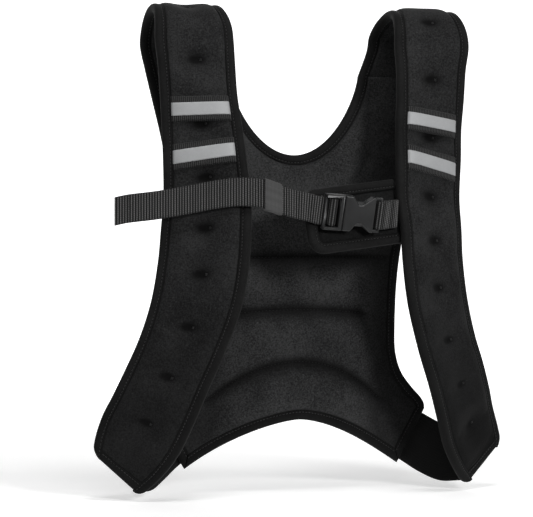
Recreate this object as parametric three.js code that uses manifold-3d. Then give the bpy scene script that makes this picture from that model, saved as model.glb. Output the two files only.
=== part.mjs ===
// Weighted vest of padded neoprene: a back panel with sewn fill channels, two tacked shoulder straps,
// edge tape all round, reflective tapes and a chest strap with a side release buckle.
// Millimetres. +Z is up, the front faces -Y, and +X is the viewer's right seen from the front.
// The origin is the shoulder seat: midway between the undersides of the two shoulder arches.
import * as THREE from 'three';
import * as BufferGeometryUtils from 'three/addons/utils/BufferGeometryUtils.js';
import Module from 'manifold-3d';

// Overall form
const STRAP_DROP = 443;
const HALF_SPAN = 203;
const FRONT_REACH = 70;
const ARCH_RADIUS = 32.5;
const SEAM_DROP = 50;
const CHEST_FORWARD = 76;
const CHEST_DROP = 180;

// Padding and edges
const STRAP_THICKNESS = 16;
const PANEL_THICKNESS = 18;
const FLAT_THICKNESS = 10;
const EDGE_THICKNESS = 7;
const CREASE_THICKNESS = 4;
const TACK_THICKNESS = 4;
const TACK_RADIUS = 12;
const EDGE_TAPE_WIDTH = 9;
const EDGE_TAPE_THICKNESS = 8.4;
const STRAP_END_FILL = 0.08;
const GAP = 0.4;

// Back panel
const NECK_HALF_WIDTH = 65;
const NECK_DEPTH = 76;
const NECK_POWER = 1.43;
const ARMHOLE_HALF_WIDTH = 146;
const PANEL_DROP = 424;
const HEM_HALF_WIDTH = 107;
const HEM_RISE = 46;
const HEM_POWER = 1.6;
const LUMBAR_HOLLOW = 17;
const LUMBAR_START = 170;
const SIDE_WRAP = 6;
const CREASE_SOFTNESS = 6.5;
const CHANNEL_HALF_LENGTH = 66;
const CHANNEL_END_SOFTNESS = 22;

// Tapes and webbing
const RIBBED_TAPE_WIDTH = 23;
const RIBBED_TAPE_THICKNESS = 1.2;
const REFLECTIVE_WIDTH = 12;
const REFLECTIVE_THICKNESS = 0.6;
const WEBBING_WIDTH = 26;
const WEBBING_THICKNESS = 1.6;
const LAYER_GAP = 0.8;
const KEEPER_WIDTH = 16;
const KEEPER_THICKNESS = 1.4;
const KEEPER_EASE = 0.8;
const BAND_THICKNESS = 2.5;

// Buckle and the padded tab behind it
const BUCKLE_HEIGHT = 33;
const BUCKLE_THICKNESS = 9;
const BUCKLE_BEVEL = 0.8;
const MALE_LENGTH = 18;
const FEMALE_LENGTH = 30;
const WAIST_HEIGHT = 18;
const SEWN_LAYER_SHARE = 0.55;
const SLOT_WIDTH = 4.6;
const SLOT_HEIGHT = 27.4;
const BAR_SIZE = 2.6;
const PLUG_LENGTH = 20;
const PLUG_HEIGHT = 23;
const PLUG_THICKNESS = 4;
const BUCKLE_X = 12;
const BUCKLE_PITCH = 12;
const BUCKLE_ROLL = 4;
const PAD_WIDTH = 94;
const PAD_HEIGHT = 60;
const PAD_THICKNESS = 6;
const PAD_BEVEL = 1.2;
const PAD_CLEARANCE = 6.5;
const PAD_SETBACK = 2.6;
const PAD_CORNER = 15;
const PAD_TILT = 7;

// Mesh fineness
const LONGEST_STEP = 15;
const SHORTEST_STEP = 3.4;
const ARCH_STEPS = 8;
const LENGTH_SAMPLES = 480;
const RIM_STEPS = 2.2;
const TAIL_STEPS = 26;
const BACK_STEPS = 60;
const CORNER_STEPS = 4;
const NORMAL_STEP = 2;
const STEEPEST_SIDE = 0.55;
const MATCH = 0.1;

// Both edges of a shoulder strap, from its lower end up to the shoulder. The x values are shares of
// HALF_SPAN, the forward values are shares of FRONT_REACH and the down values are shares of STRAP_DROP.
const STRAP_LEVELS = [
  { outX: 1.000, outForward: -0.107, outDown: 0.910, inX: 0.788, inForward: 0.079, inDown: 1.000 },
  { outX: 0.980, outForward: -0.129, outDown: 0.871, inX: 0.709, inForward: 0.286, inDown: 0.959 },
  { outX: 0.951, outForward: -0.100, outDown: 0.831, inX: 0.645, inForward: 0.443, inDown: 0.912 },
  { outX: 0.916, outForward: 0.029, outDown: 0.790, inX: 0.591, inForward: 0.600, inDown: 0.849 },
  { outX: 0.867, outForward: 0.157, outDown: 0.734, inX: 0.537, inForward: 0.714, inDown: 0.781 },
  { outX: 0.813, outForward: 0.243, outDown: 0.673, inX: 0.468, inForward: 0.829, inDown: 0.700 },
  { outX: 0.764, outForward: 0.321, outDown: 0.596, inX: 0.399, inForward: 0.957, inDown: 0.600 },
  { outX: 0.734, outForward: 0.364, outDown: 0.510, inX: 0.369, inForward: 1.000, inDown: 0.510 },
  { outX: 0.724, outForward: 0.393, outDown: 0.447, inX: 0.360, inForward: 0.993, inDown: 0.447 },
  { outX: 0.714, outForward: 0.407, outDown: 0.381, inX: 0.350, inForward: 0.893, inDown: 0.381 },
  { outX: 0.719, outForward: 0.436, outDown: 0.296, inX: 0.360, inForward: 0.779, inDown: 0.296 },
  { outX: 0.724, outForward: 0.421, outDown: 0.233, inX: 0.369, inForward: 0.679, inDown: 0.233 },
  { outX: 0.734, outForward: 0.450, outDown: 0.167, inX: 0.384, inForward: 0.593, inDown: 0.167 },
  { outX: 0.744, outForward: 0.450, outDown: 0.104, inX: 0.389, inForward: 0.536, inDown: 0.104 },
];
// The strap edges over the shoulder, as shares of HALF_SPAN, at the front, top and back of the arch.
const ARCH_EDGES = {
  frontOut: 0.758, topOut: 0.739, backOut: 0.746,
  frontIn: 0.389, topIn: 0.414, backIn: 0.367,
};

// Tacks down the middle of each strap: down values as shares of STRAP_DROP, lowest first, and the
// places over the arch in degrees from its front.
const STRAP_TACKS = {
  left: { down: [0.844, 0.749, 0.646, 0.537, 0.442, 0.338, 0.226, 0.094], arch: [74, 168] },
  right: { down: [0.867, 0.778, 0.681, 0.569, 0.469, 0.376, 0.250, 0.126], arch: [43, 136] },
};

// Reflective tapes: middle height as a share of STRAP_DROP and the rise of the inner end over the outer
// end as a share of REFLECTIVE_WIDTH, lowest first.
const STRAP_TAPES = {
  left: [
    { name: 'lower', down: 0.289, rise: 0.74 },
    { name: 'upper', down: 0.196, rise: 0.03 },
  ],
  right: [
    { name: 'lower', down: 0.305, rise: 1.2 },
    { name: 'upper', down: 0.218, rise: 0.72 },
  ],
};

// Side outline of the back panel, top to bottom: half width as a share of ARMHOLE_HALF_WIDTH and height
// as a share of PANEL_DROP.
const PANEL_SIDE = [
  { down: 0.118, half: 1.000 }, { down: 0.175, half: 0.959 }, { down: 0.252, half: 0.904 },
  { down: 0.330, half: 0.856 }, { down: 0.420, half: 0.795 }, { down: 0.521, half: 0.743 },
  { down: 0.600, half: 0.719 }, { down: 0.690, half: 0.712 }, { down: 0.745, half: 0.719 },
  { down: 0.790, half: 0.760 }, { down: 0.826, half: 0.836 }, { down: 0.852, half: 0.905 },
  { down: 0.872, half: 0.930 }, { down: 0.893, half: 0.905 }, { down: 1.000, half: 0.733 },
];

// Stitched creases between the fill channels, as shares of PANEL_DROP for the height at the middle and
// the sag at the ends, and of HEM_HALF_WIDTH for the half length.
const PANEL_CREASES = [
  { down: 0.528, sag: 0.0, half: 0.86 },
  { down: 0.646, sag: 0.009, half: 0.61 },
  { down: 0.762, sag: 0.086, half: 0.80 },
];
// Soft crease that runs from each shoulder down to the top channel, in shares of the same sizes.
const YOKE_CREASE = { topX: 0.92, topDown: 0.215, endX: 0.55, endDown: 0.36, depth: 0.55, softness: 8 };

// Side band rows from the back panel to the strap end: x as shares of HALF_SPAN, back as shares of
// ARCH_RADIUS and down as shares of STRAP_DROP.
const BAND_ROWS = [
  { topX: 0.616, topBack: 1.40, topDown: 0.836, lowX: 0.500, lowBack: 1.40, lowDown: 0.936 },
  { topX: 0.668, topBack: 1.36, topDown: 0.850, lowX: 0.555, lowBack: 1.32, lowDown: 0.953 },
  { topX: 0.742, topBack: 1.12, topDown: 0.871, lowX: 0.636, lowBack: 1.00, lowDown: 0.979 },
  { topX: 0.830, topBack: 0.88, topDown: 0.892, lowX: 0.710, lowBack: 0.55, lowDown: 0.995 },
  { topX: 0.930, topBack: 0.62, topDown: 0.905, lowX: 0.790, lowBack: 0.12, lowDown: 0.993 },
];

// Free end of the chest strap in front of the left strap, from the keeper to its tip: x as shares of
// HALF_SPAN, forward as shares of CHEST_FORWARD and down as shares of CHEST_DROP.
const TAIL_ROUTE = [
  { x: -0.268, forward: 0.990, down: 0.930 }, { x: -0.310, forward: 0.975, down: 0.914 },
  { x: -0.400, forward: 0.925, down: 0.905 }, { x: -0.490, forward: 0.850, down: 0.914 },
  { x: -0.640, forward: 0.700, down: 0.947 }, { x: -0.765, forward: 0.590, down: 0.972 },
  { x: -0.896, forward: 0.500, down: 0.991 }, { x: -0.948, forward: 0.475, down: 1.004 },
];

// Outline of the buckle's female half above its middle line: distance from its mouth as a share of
// FEMALE_LENGTH, and height as a share of the way from WAIST_HEIGHT to BUCKLE_HEIGHT.
const SLEEVE_OUTLINE = [
  { along: 0, height: 1 }, { along: 0.26, height: 1 }, { along: 0.45, height: 0 },
  { along: 0.58, height: 0 }, { along: 0.9, height: 1 }, { along: 1, height: 1 },
];

const NEOPRENE = { color: 0x1f1f20, roughness: 0.85, metalness: 0 };
const EDGE_TAPE = { color: 0x303031, roughness: 0.8, metalness: 0 };
const RIBBED = { color: 0x262627, roughness: 0.75, metalness: 0 };
const SILVER = { color: 0xa9abad, roughness: 0.45, metalness: 0.2 };
const WEBBING = { color: 0x2c2c2d, roughness: 0.7, metalness: 0 };
const ELASTIC = { color: 0x39393a, roughness: 0.7, metalness: 0 };
const PLASTIC = { color: 0x2b2b2d, roughness: 0.4, metalness: 0 };

const vest = new THREE.Group();
const SIDES = { left: -1, right: 1 };

function addMesh(name, geometry, finish) {
  const mesh = new THREE.Mesh(geometry, new THREE.MeshStandardMaterial(finish));
  mesh.name = name;
  vest.add(mesh);
  return mesh;
}

// A closed body from its corner points and triangles, turned so that its faces point outwards.
function closedBody(points, triangles) {
  let volume = 0;
  for (const [a, b, c] of triangles) {
    volume += points[a].dot(new THREE.Vector3().crossVectors(points[b], points[c]));
  }
  const index = triangles.flatMap(([a, b, c]) => (volume < 0 ? [a, c, b] : [a, b, c]));
  const geometry = new THREE.BufferGeometry();
  geometry.setAttribute('position', new THREE.Float32BufferAttribute(points.flatMap((p) => p.toArray()), 3));
  geometry.setIndex(index);
  geometry.computeVertexNormals();
  return geometry;
}

// A body between two sheets of rows and columns that match point by point, closed round its rim.
function shell(over, under) {
  const rows = over.length;
  const columns = over[0].length;
  const points = [...over.flat(), ...under.flat()];
  const at = (sheet, row, column) => (sheet * rows + row) * columns + column;
  const triangles = [];
  const quad = (a, b, c, d) => triangles.push([a, b, c], [a, c, d]);
  for (let r = 0; r + 1 < rows; r += 1) {
    for (let c = 0; c + 1 < columns; c += 1) {
      quad(at(0, r, c), at(0, r, c + 1), at(0, r + 1, c + 1), at(0, r + 1, c));
      // The lower sheet keeps the same diagonals, seen from its other side.
      triangles.push([at(1, r, c), at(1, r + 1, c + 1), at(1, r, c + 1)]);
      triangles.push([at(1, r, c), at(1, r + 1, c), at(1, r + 1, c + 1)]);
    }
  }
  const rim = [];
  for (let c = 0; c + 1 < columns; c += 1) rim.push([0, c]);
  for (let r = 0; r + 1 < rows; r += 1) rim.push([r, columns - 1]);
  for (let c = columns - 1; c > 0; c -= 1) rim.push([rows - 1, c]);
  for (let r = rows - 1; r > 0; r -= 1) rim.push([r, 0]);
  rim.forEach(([row, column], i) => {
    const [nextRow, nextColumn] = rim[(i + 1) % rim.length];
    quad(at(0, nextRow, nextColumn), at(0, row, column), at(1, row, column), at(1, nextRow, nextColumn));
  });
  return closedBody(points, triangles);
}

// A bar through matching rings of points, closed with a fan at both ends.
function bar(rings) {
  const around = rings[0].length;
  const points = rings.flat();
  const triangles = [];
  for (let r = 0; r + 1 < rings.length; r += 1) {
    for (let k = 0; k < around; k += 1) {
      const next = (k + 1) % around;
      const [a, b] = [r * around + k, r * around + next];
      const [c, d] = [(r + 1) * around + next, (r + 1) * around + k];
      triangles.push([a, b, c], [a, c, d]);
    }
  }
  const last = (rings.length - 1) * around;
  for (let k = 1; k + 1 < around; k += 1) {
    triangles.push([0, k + 1, k], [last, last + k, last + k + 1]);
  }
  return closedBody(points, triangles);
}

const mix = (a, b, share) => a + (b - a) * share;
const clamp01 = (value) => Math.min(1, Math.max(0, value));
const smooth = (value) => clamp01(value) ** 2 * (3 - 2 * clamp01(value));
const shifted = (point, direction, distance) => point.clone().addScaledVector(direction, distance);

// Shoulder straps. A place on a strap is given by the length along its middle from the lower end and
// by the share across it, from 0 at the inner edge to 1 at the outer edge.
function archEdge(front, top, back, turn) {
  const rise = Math.sin(turn);
  const side = turn < Math.PI / 2 ? front : back;
  return HALF_SPAN * mix(side, top, rise * rise);
}

function strapEdges() {
  const outer = STRAP_LEVELS.map((row) => new THREE.Vector3(
    HALF_SPAN * row.outX, -FRONT_REACH * row.outForward, -STRAP_DROP * row.outDown));
  const inner = STRAP_LEVELS.map((row) => new THREE.Vector3(
    HALF_SPAN * row.inX, -FRONT_REACH * row.inForward, -STRAP_DROP * row.inDown));
  const centreHeight = STRAP_THICKNESS / 2 - ARCH_RADIUS;
  for (let i = 0; i <= ARCH_STEPS; i += 1) {
    const turn = Math.PI * i / ARCH_STEPS;
    const y = -ARCH_RADIUS * Math.cos(turn);
    const z = centreHeight + ARCH_RADIUS * Math.sin(turn);
    const { frontOut, topOut, backOut, frontIn, topIn, backIn } = ARCH_EDGES;
    outer.push(new THREE.Vector3(archEdge(frontOut, topOut, backOut, turn), y, z));
    inner.push(new THREE.Vector3(archEdge(frontIn, topIn, backIn, turn), y, z));
  }
  outer.push(new THREE.Vector3(ARMHOLE_HALF_WIDTH, ARCH_RADIUS, -SEAM_DROP));
  inner.push(new THREE.Vector3(NECK_HALF_WIDTH, ARCH_RADIUS, -SEAM_DROP));
  return {
    outer: new THREE.CatmullRomCurve3(outer, false, 'centripetal'),
    inner: new THREE.CatmullRomCurve3(inner, false, 'centripetal'),
    levels: outer.length,
  };
}

const EDGES = strapEdges();
const ARCH_START = STRAP_LEVELS.length / (EDGES.levels - 1);
const ARCH_SPAN = ARCH_STEPS / (EDGES.levels - 1);

const STRAP_LENGTHS = [0];
for (let i = 1, last = null; i <= LENGTH_SAMPLES; i += 1) {
  const middle = (t) => EDGES.outer.getPoint(t).lerp(EDGES.inner.getPoint(t), 0.5);
  last = last ?? middle(0);
  const here = middle(i / LENGTH_SAMPLES);
  STRAP_LENGTHS.push(STRAP_LENGTHS[i - 1] + here.distanceTo(last));
  last = here;
}
const STRAP_LENGTH = STRAP_LENGTHS[LENGTH_SAMPLES];

// The curve parameter at a length along the strap, and the length at a parameter.
function parameterAt(length) {
  const i = Math.max(1, STRAP_LENGTHS.findIndex((value) => value >= Math.min(length, STRAP_LENGTH)));
  const share = (length - STRAP_LENGTHS[i - 1]) / (STRAP_LENGTHS[i] - STRAP_LENGTHS[i - 1]);
  return clamp01((i - 1 + share) / LENGTH_SAMPLES);
}

function lengthAt(parameter) {
  const place = clamp01(parameter) * LENGTH_SAMPLES;
  const i = Math.min(LENGTH_SAMPLES - 1, Math.floor(place));
  return mix(STRAP_LENGTHS[i], STRAP_LENGTHS[i + 1], place - i);
}

// The length along the front of the strap where its middle is this far below the seat.
function lengthAtDrop(drop) {
  let [low, high] = [0, lengthAt(ARCH_START)];
  for (let i = 0; i < 30; i += 1) {
    const here = (low + high) / 2;
    const t = parameterAt(here);
    const z = (EDGES.outer.getPoint(t).z + EDGES.inner.getPoint(t).z) / 2;
    if (z < -drop) low = here;
    else high = here;
  }
  return low;
}

const lengthAtTurn = (degrees) => lengthAt(ARCH_START + ARCH_SPAN * degrees / 180);

class Strap {
  constructor(side) {
    this.side = side;
    this.sign = SIDES[side];
    this.tapes = STRAP_TAPES[side].map((tape) => ({
      name: tape.name,
      middle: lengthAtDrop(STRAP_DROP * tape.down),
      rise: REFLECTIVE_WIDTH * tape.rise,
    }));
    const tacks = STRAP_TACKS[side];
    this.tacks = [
      ...tacks.down.map((down) => lengthAtDrop(STRAP_DROP * down)),
      ...tacks.arch.map((degrees) => lengthAtTurn(degrees)),
    ];
    this.rows = this.meshRows();
  }

  // How far the inner end of the row at this length stands above its outer end.
  riseAt(length) {
    const [lower, upper] = this.tapes;
    const reach = RIBBED_TAPE_WIDTH / 2;
    const fade = RIBBED_TAPE_WIDTH * 2;
    if (length < lower.middle - reach) {
      return lower.rise * smooth(1 - (lower.middle - reach - length) / fade);
    }
    if (length > upper.middle + reach) {
      return upper.rise * smooth(1 - (length - upper.middle - reach) / fade);
    }
    const between = (length - lower.middle - reach) / (upper.middle - lower.middle - 2 * reach);
    return mix(lower.rise, upper.rise, clamp01(between));
  }

  middle(length, across) {
    const half = this.riseAt(length) / 2;
    const inner = EDGES.inner.getPoint(parameterAt(Math.min(STRAP_LENGTH, length + half)));
    const outer = EDGES.outer.getPoint(parameterAt(Math.max(0, length - half)));
    const point = inner.lerp(outer, across);
    point.x *= this.sign;
    return point;
  }

  width(length) {
    return this.middle(length, 0).distanceTo(this.middle(length, 1));
  }

  // The direction out of the worn side: forwards on the chest, up on the shoulder, back behind it.
  normal(length, across) {
    const low = Math.max(0, length - NORMAL_STEP);
    const high = Math.min(STRAP_LENGTH, length + NORMAL_STEP);
    const along = this.middle(high, across).sub(this.middle(low, across));
    const sideways = this.middle(length, 1).sub(this.middle(length, 0));
    return along.cross(sideways).multiplyScalar(-this.sign).normalize();
  }

  underTape(length) {
    return this.tapes.some((tape) => Math.abs(tape.middle - length) < RIBBED_TAPE_WIDTH / 2 + MATCH);
  }

  // Half the thickness of the filled strap; place runs from -1 to 1 between the two edge tapes.
  halfThickness(length, place) {
    const edge = EDGE_THICKNESS / 2;
    const ends = Math.min(length - EDGE_TAPE_WIDTH, STRAP_LENGTH - length);
    const fill = smooth(ends / (2 * STRAP_THICKNESS) + STRAP_END_FILL);
    const full = mix(edge, STRAP_THICKNESS / 2, Math.sqrt(1 - place ** 4) * fill);
    if (this.underTape(length)) return full;
    const reach = this.width(length) / 2 - EDGE_TAPE_WIDTH;
    let half = full;
    for (const tack of this.tacks) {
      const away = Math.hypot(length - tack, place * reach) / TACK_RADIUS;
      half = Math.min(half, mix(full, TACK_THICKNESS / 2, Math.exp(-away * away)));
    }
    return half;
  }

  meshRows() {
    const wanted = [EDGE_TAPE_WIDTH + GAP, STRAP_LENGTH];
    const keep = (length) => {
      const first = wanted[0] + SHORTEST_STEP;
      const clear = wanted.every((other) => Math.abs(other - length) > SHORTEST_STEP);
      if (length > first && length < STRAP_LENGTH - SHORTEST_STEP && clear) wanted.push(length);
    };
    for (const tape of this.tapes) {
      for (const offset of [-RIBBED_TAPE_WIDTH, -REFLECTIVE_WIDTH, 0, REFLECTIVE_WIDTH, RIBBED_TAPE_WIDTH]) {
        wanted.push(tape.middle + offset / 2);
      }
    }
    for (const tack of this.tacks) keep(tack);
    for (const tack of this.tacks) {
      keep(tack - TACK_RADIUS * 3 / 4);
      keep(tack + TACK_RADIUS * 3 / 4);
    }
    wanted.sort((a, b) => a - b);
    const rows = [wanted[0]];
    for (const next of wanted.slice(1)) {
      const last = rows[rows.length - 1];
      const steps = Math.ceil((next - last) / LONGEST_STEP);
      for (let i = 1; i <= steps; i += 1) rows.push(mix(last, next, i / steps));
    }
    return rows;
  }

  // A point above the strap's worn or inner face, at a place from -1 to 1 between the edge tapes.
  face(length, place, worn, above = 0) {
    const inset = (EDGE_TAPE_WIDTH + GAP) / this.width(length);
    const across = mix(inset, 1 - inset, (place + 1) / 2);
    const distance = this.halfThickness(length, place) + above;
    return shifted(this.middle(length, across), this.normal(length, across), worn ? distance : -distance);
  }

  sheet(rows, worn, above = 0) {
    return rows.map((length) => STRAP_COLUMNS.map((place) => this.face(length, place, worn, above)));
  }

  // Ring of the edge tape at a length along the inner or the outer edge.
  edgeRing(length, outerEdge) {
    const width = this.width(length);
    const at = (distance) => (outerEdge ? 1 - distance / width : distance / width);
    const [rim, shoulder, foot] = EDGE_TAPE_STEPS.map((distance) => this.middle(length, at(distance)));
    return edgeTapeRing(rim, shoulder, foot, this.normal(length, at(EDGE_TAPE_WIDTH)));
  }
}

const STRAP_COLUMNS = [-1, -0.66, -0.3, 0, 0.3, 0.66, 1];
const EDGE_TAPE_STEPS = [0, EDGE_TAPE_WIDTH / 3, EDGE_TAPE_WIDTH];

// Five points of the edge tape: flat where it meets the padding, rounded over the raw edge.
function edgeTapeRing(rim, shoulder, foot, normal) {
  const thick = EDGE_TAPE_THICKNESS / 2;
  const low = Math.min(thick, EDGE_THICKNESS / 2 + GAP);
  return [
    shifted(foot, normal, low), shifted(shoulder, normal, thick), rim,
    shifted(shoulder, normal, -thick), shifted(foot, normal, -low),
  ];
}

const STRAPS = { left: new Strap('left'), right: new Strap('right') };

function buildStrap(side) {
  const strap = STRAPS[side];
  const [worn, inner] = [true, false].map((face) => strap.sheet(strap.rows, face));
  addMesh(`shoulder_strap_${side}`, shell(worn, inner), NEOPRENE);

  const ends = EDGE_TAPE_STEPS;
  const halves = [EDGE_TAPE_THICKNESS / 6, EDGE_TAPE_THICKNESS / 2, EDGE_THICKNESS / 2];
  const endSheet = (sign) => ends.map((length, i) => STRAP_COLUMNS.map((place) => {
    const inset = (EDGE_TAPE_WIDTH + GAP) / strap.width(length);
    const across = mix(inset, 1 - inset, (place + 1) / 2);
    return shifted(strap.middle(length, across), strap.normal(length, across), sign * halves[i]);
  }));
  addMesh(`strap_end_binding_${side}`, shell(endSheet(1), endSheet(-1)), EDGE_TAPE);

  for (const tape of strap.tapes) {
    const band = (width) => strap.rows.filter((row) => Math.abs(row - tape.middle) < width / 2 + MATCH);
    const onTape = GAP + RIBBED_TAPE_THICKNESS;
    const ribbed = band(RIBBED_TAPE_WIDTH);
    addMesh(`ribbed_tape_${side}_${tape.name}`,
      shell(strap.sheet(ribbed, true, onTape), strap.sheet(ribbed, true, GAP)), RIBBED);
    const silver = band(REFLECTIVE_WIDTH);
    addMesh(`reflective_strip_${side}_${tape.name}`,
      shell(strap.sheet(silver, true, onTape + GAP + REFLECTIVE_THICKNESS),
        strap.sheet(silver, true, onTape + GAP)), SILVER);
  }
}

// Back panel. Its middle layer is given by x and z: upright behind the shoulders, hollow at the small of
// the back and drawn round at the sides.
function panelDepth(x, z) {
  const lumbar = smooth((-z - LUMBAR_START) / (PANEL_DROP - HEM_RISE - LUMBAR_START));
  const round = Math.sin(Math.PI / 2 * Math.min(1, Math.abs(x) / HEM_HALF_WIDTH)) ** 2;
  return ARCH_RADIUS + lumbar * mix(-LUMBAR_HOLLOW, SIDE_WRAP, round);
}

const panelPoint = (x, z) => new THREE.Vector3(x, panelDepth(x, z), z);

function panelNormal(x, z) {
  const slopeX = panelDepth(x + 1, z) - panelDepth(x - 1, z);
  const slopeZ = panelDepth(x, z + 1) - panelDepth(x, z - 1);
  return new THREE.Vector3(-slopeX / 2, 1, -slopeZ / 2).normalize();
}

const SIDE_CURVE = new THREE.SplineCurve(PANEL_SIDE.map((row) => new THREE.Vector2(
  ARMHOLE_HALF_WIDTH * row.half, -PANEL_DROP * row.down)));

// Point on the right side outline at a height, moved inwards by an inset.
function sideOutline(z, inset) {
  let [low, high] = [0, 1];
  for (let i = 0; i < 30; i += 1) {
    const t = (low + high) / 2;
    if (SIDE_CURVE.getPoint(t).y > z) low = t;
    else high = t;
  }
  const tangent = SIDE_CURVE.getTangent(low);
  const x = SIDE_CURVE.getPoint(low).x;
  return x - inset / Math.max(STEEPEST_SIDE, Math.abs(tangent.y));
}

// Neck outline: turn 0 at the seam with the strap, a quarter turn at the lowest point of the U.
function neckOutline(turn, inset) {
  const x = NECK_HALF_WIDTH * Math.cos(turn);
  const z = -SEAM_DROP - NECK_DEPTH * Math.sin(turn) ** NECK_POWER;
  const steep = Math.max(MATCH, Math.sin(turn)) ** (NECK_POWER - 1) * Math.cos(turn);
  const slope = new THREE.Vector2(
    -NECK_HALF_WIDTH * Math.sin(turn), -NECK_DEPTH * NECK_POWER * steep).normalize();
  return new THREE.Vector2(x - slope.y * inset, Math.min(z + slope.x * inset, -SEAM_DROP));
}

function hemOutline(x, inset) {
  const share = Math.abs(x) / HEM_HALF_WIDTH;
  const z = -(PANEL_DROP - HEM_RISE) - HEM_RISE * share ** HEM_POWER;
  const slope = HEM_RISE * HEM_POWER * share ** (HEM_POWER - 1) / HEM_HALF_WIDTH;
  return z + inset * Math.hypot(1, slope);
}

function creaseHeight(crease, x) {
  const share = Math.min(1, Math.abs(x) / (HEM_HALF_WIDTH * crease.half));
  return -PANEL_DROP * (crease.down + crease.sag * share * share);
}

// Depth of a crease at a point, from 0 far from it to 1 on its stitch line.
function creaseAt(x, z) {
  let depth = 0;
  for (const crease of PANEL_CREASES) {
    const away = (z - creaseHeight(crease, x)) / CREASE_SOFTNESS;
    const past = Math.max(0, Math.abs(x) - HEM_HALF_WIDTH * crease.half) / CREASE_SOFTNESS;
    depth = Math.max(depth, Math.exp(-away * away - past * past));
  }
  const start = new THREE.Vector2(HEM_HALF_WIDTH * YOKE_CREASE.topX, -PANEL_DROP * YOKE_CREASE.topDown);
  const end = new THREE.Vector2(HEM_HALF_WIDTH * YOKE_CREASE.endX, -PANEL_DROP * YOKE_CREASE.endDown);
  const run = end.clone().sub(start);
  const here = new THREE.Vector2(Math.abs(x), z);
  const share = clamp01(here.clone().sub(start).dot(run) / run.lengthSq());
  const away = here.distanceTo(start.addScaledVector(run, share)) / YOKE_CREASE.softness;
  return Math.max(depth, YOKE_CREASE.depth * Math.exp(-away * away));
}

// Half the thickness of the panel. The rim share is 0 at its edge and 1 well inside it.
function panelHalf(x, z, rimShare) {
  const filled = smooth(1 - (Math.abs(x) - CHANNEL_HALF_LENGTH) / CHANNEL_END_SOFTNESS);
  const full = mix(FLAT_THICKNESS, PANEL_THICKNESS, filled) / 2;
  const padded = mix(EDGE_THICKNESS / 2, full, Math.sqrt(1 - (1 - clamp01(rimShare)) ** 2));
  return mix(padded, Math.min(padded, CREASE_THICKNESS / 2), creaseAt(x, z));
}

const SEAM_COLUMNS = 5;
const NECK_COLUMNS = 8;
const SEAM_SHARE = 0.5;
const PANEL_BANDS = [9, 6, 6, 7];

// Column shares across the panel, from its left side at -1 to its right side at 1.
const HALF_SHARES = [
  ...Array.from({ length: NECK_COLUMNS + 1 }, (_, i) => SEAM_SHARE * i / NECK_COLUMNS),
  ...Array.from({ length: SEAM_COLUMNS }, (_, i) => mix(SEAM_SHARE, 1, (i + 1) / SEAM_COLUMNS)),
];
const PANEL_SHARES = [...HALF_SHARES.slice(1).reverse().map((share) => -share), ...HALF_SHARES];

// Top guide of the panel mesh: along the seam behind each shoulder, and round the neck between them.
function topGuide(share, inset) {
  const size = Math.abs(share);
  if (size < SEAM_SHARE) {
    const point = neckOutline(Math.PI / 2 * (1 - size / SEAM_SHARE), inset);
    return new THREE.Vector2(Math.sign(share) * point.x, point.y);
  }
  const inner = neckOutline(0, inset).x;
  const outer = sideOutline(-SEAM_DROP, inset);
  const x = mix(inner, outer, (size - SEAM_SHARE) / (1 - SEAM_SHARE));
  return new THREE.Vector2(Math.sign(share) * x, -SEAM_DROP - GAP);
}

// Lower corner of the panel, where its slanted end meets the hem.
function lowerCorner(inset) {
  let [low, high] = [-PANEL_DROP, creaseHeight(PANEL_CREASES[2], HALF_SPAN)];
  for (let i = 0; i < 30; i += 1) {
    const z = (low + high) / 2;
    if (z < hemOutline(sideOutline(z, inset), inset)) low = z;
    else high = z;
  }
  return new THREE.Vector2(sideOutline(low, inset), low);
}

// Rows and columns of places on the panel. The guide rows are its top, the three creases and the hem,
// and the rows between two guides change from one to the other.
function panelGrid(inset) {
  const corner = lowerCorner(inset);
  const along = (crease) => {
    const half = sideOutline(creaseHeight(crease, HALF_SPAN), inset);
    return (share) => creaseHeight(crease, share * half);
  };
  const guides = [
    (share) => topGuide(share, inset).y, ...PANEL_CREASES.map(along),
    (share) => hemOutline(share * corner.x, inset),
  ];
  const rows = PANEL_BANDS.flatMap((steps, band) => Array.from(
    { length: band ? steps : steps + 1 }, (_, i) => ({ band, down: (band ? i + 1 : i) / steps })));
  return rows.map(({ band, down }) => {
    const height = (share) => mix(guides[band](share), guides[band + 1](share), down);
    const half = sideOutline(height(1), inset);
    return PANEL_SHARES.map((share) => {
      const spread = topGuide(share, inset).x / topGuide(1, inset).x;
      return new THREE.Vector2(half * mix(spread, share, band ? 1 : down), height(share));
    });
  });
}

function buildPanel() {
  const grid = panelGrid(EDGE_TAPE_WIDTH + GAP);
  const [lastRow, lastColumn] = [grid.length - 1, PANEL_SHARES.length - 1];
  const sheet = (worn) => grid.map((row, r) => row.map((place, c) => {
    const fromRim = Math.min(c, lastColumn - c, r, lastRow - r) / RIM_STEPS;
    const half = panelHalf(place.x, place.y, fromRim);
    return shifted(panelPoint(place.x, place.y), panelNormal(place.x, place.y), worn ? half : -half);
  }));
  addMesh('back_panel', shell(sheet(true), sheet(false)), NEOPRENE);
}

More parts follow.
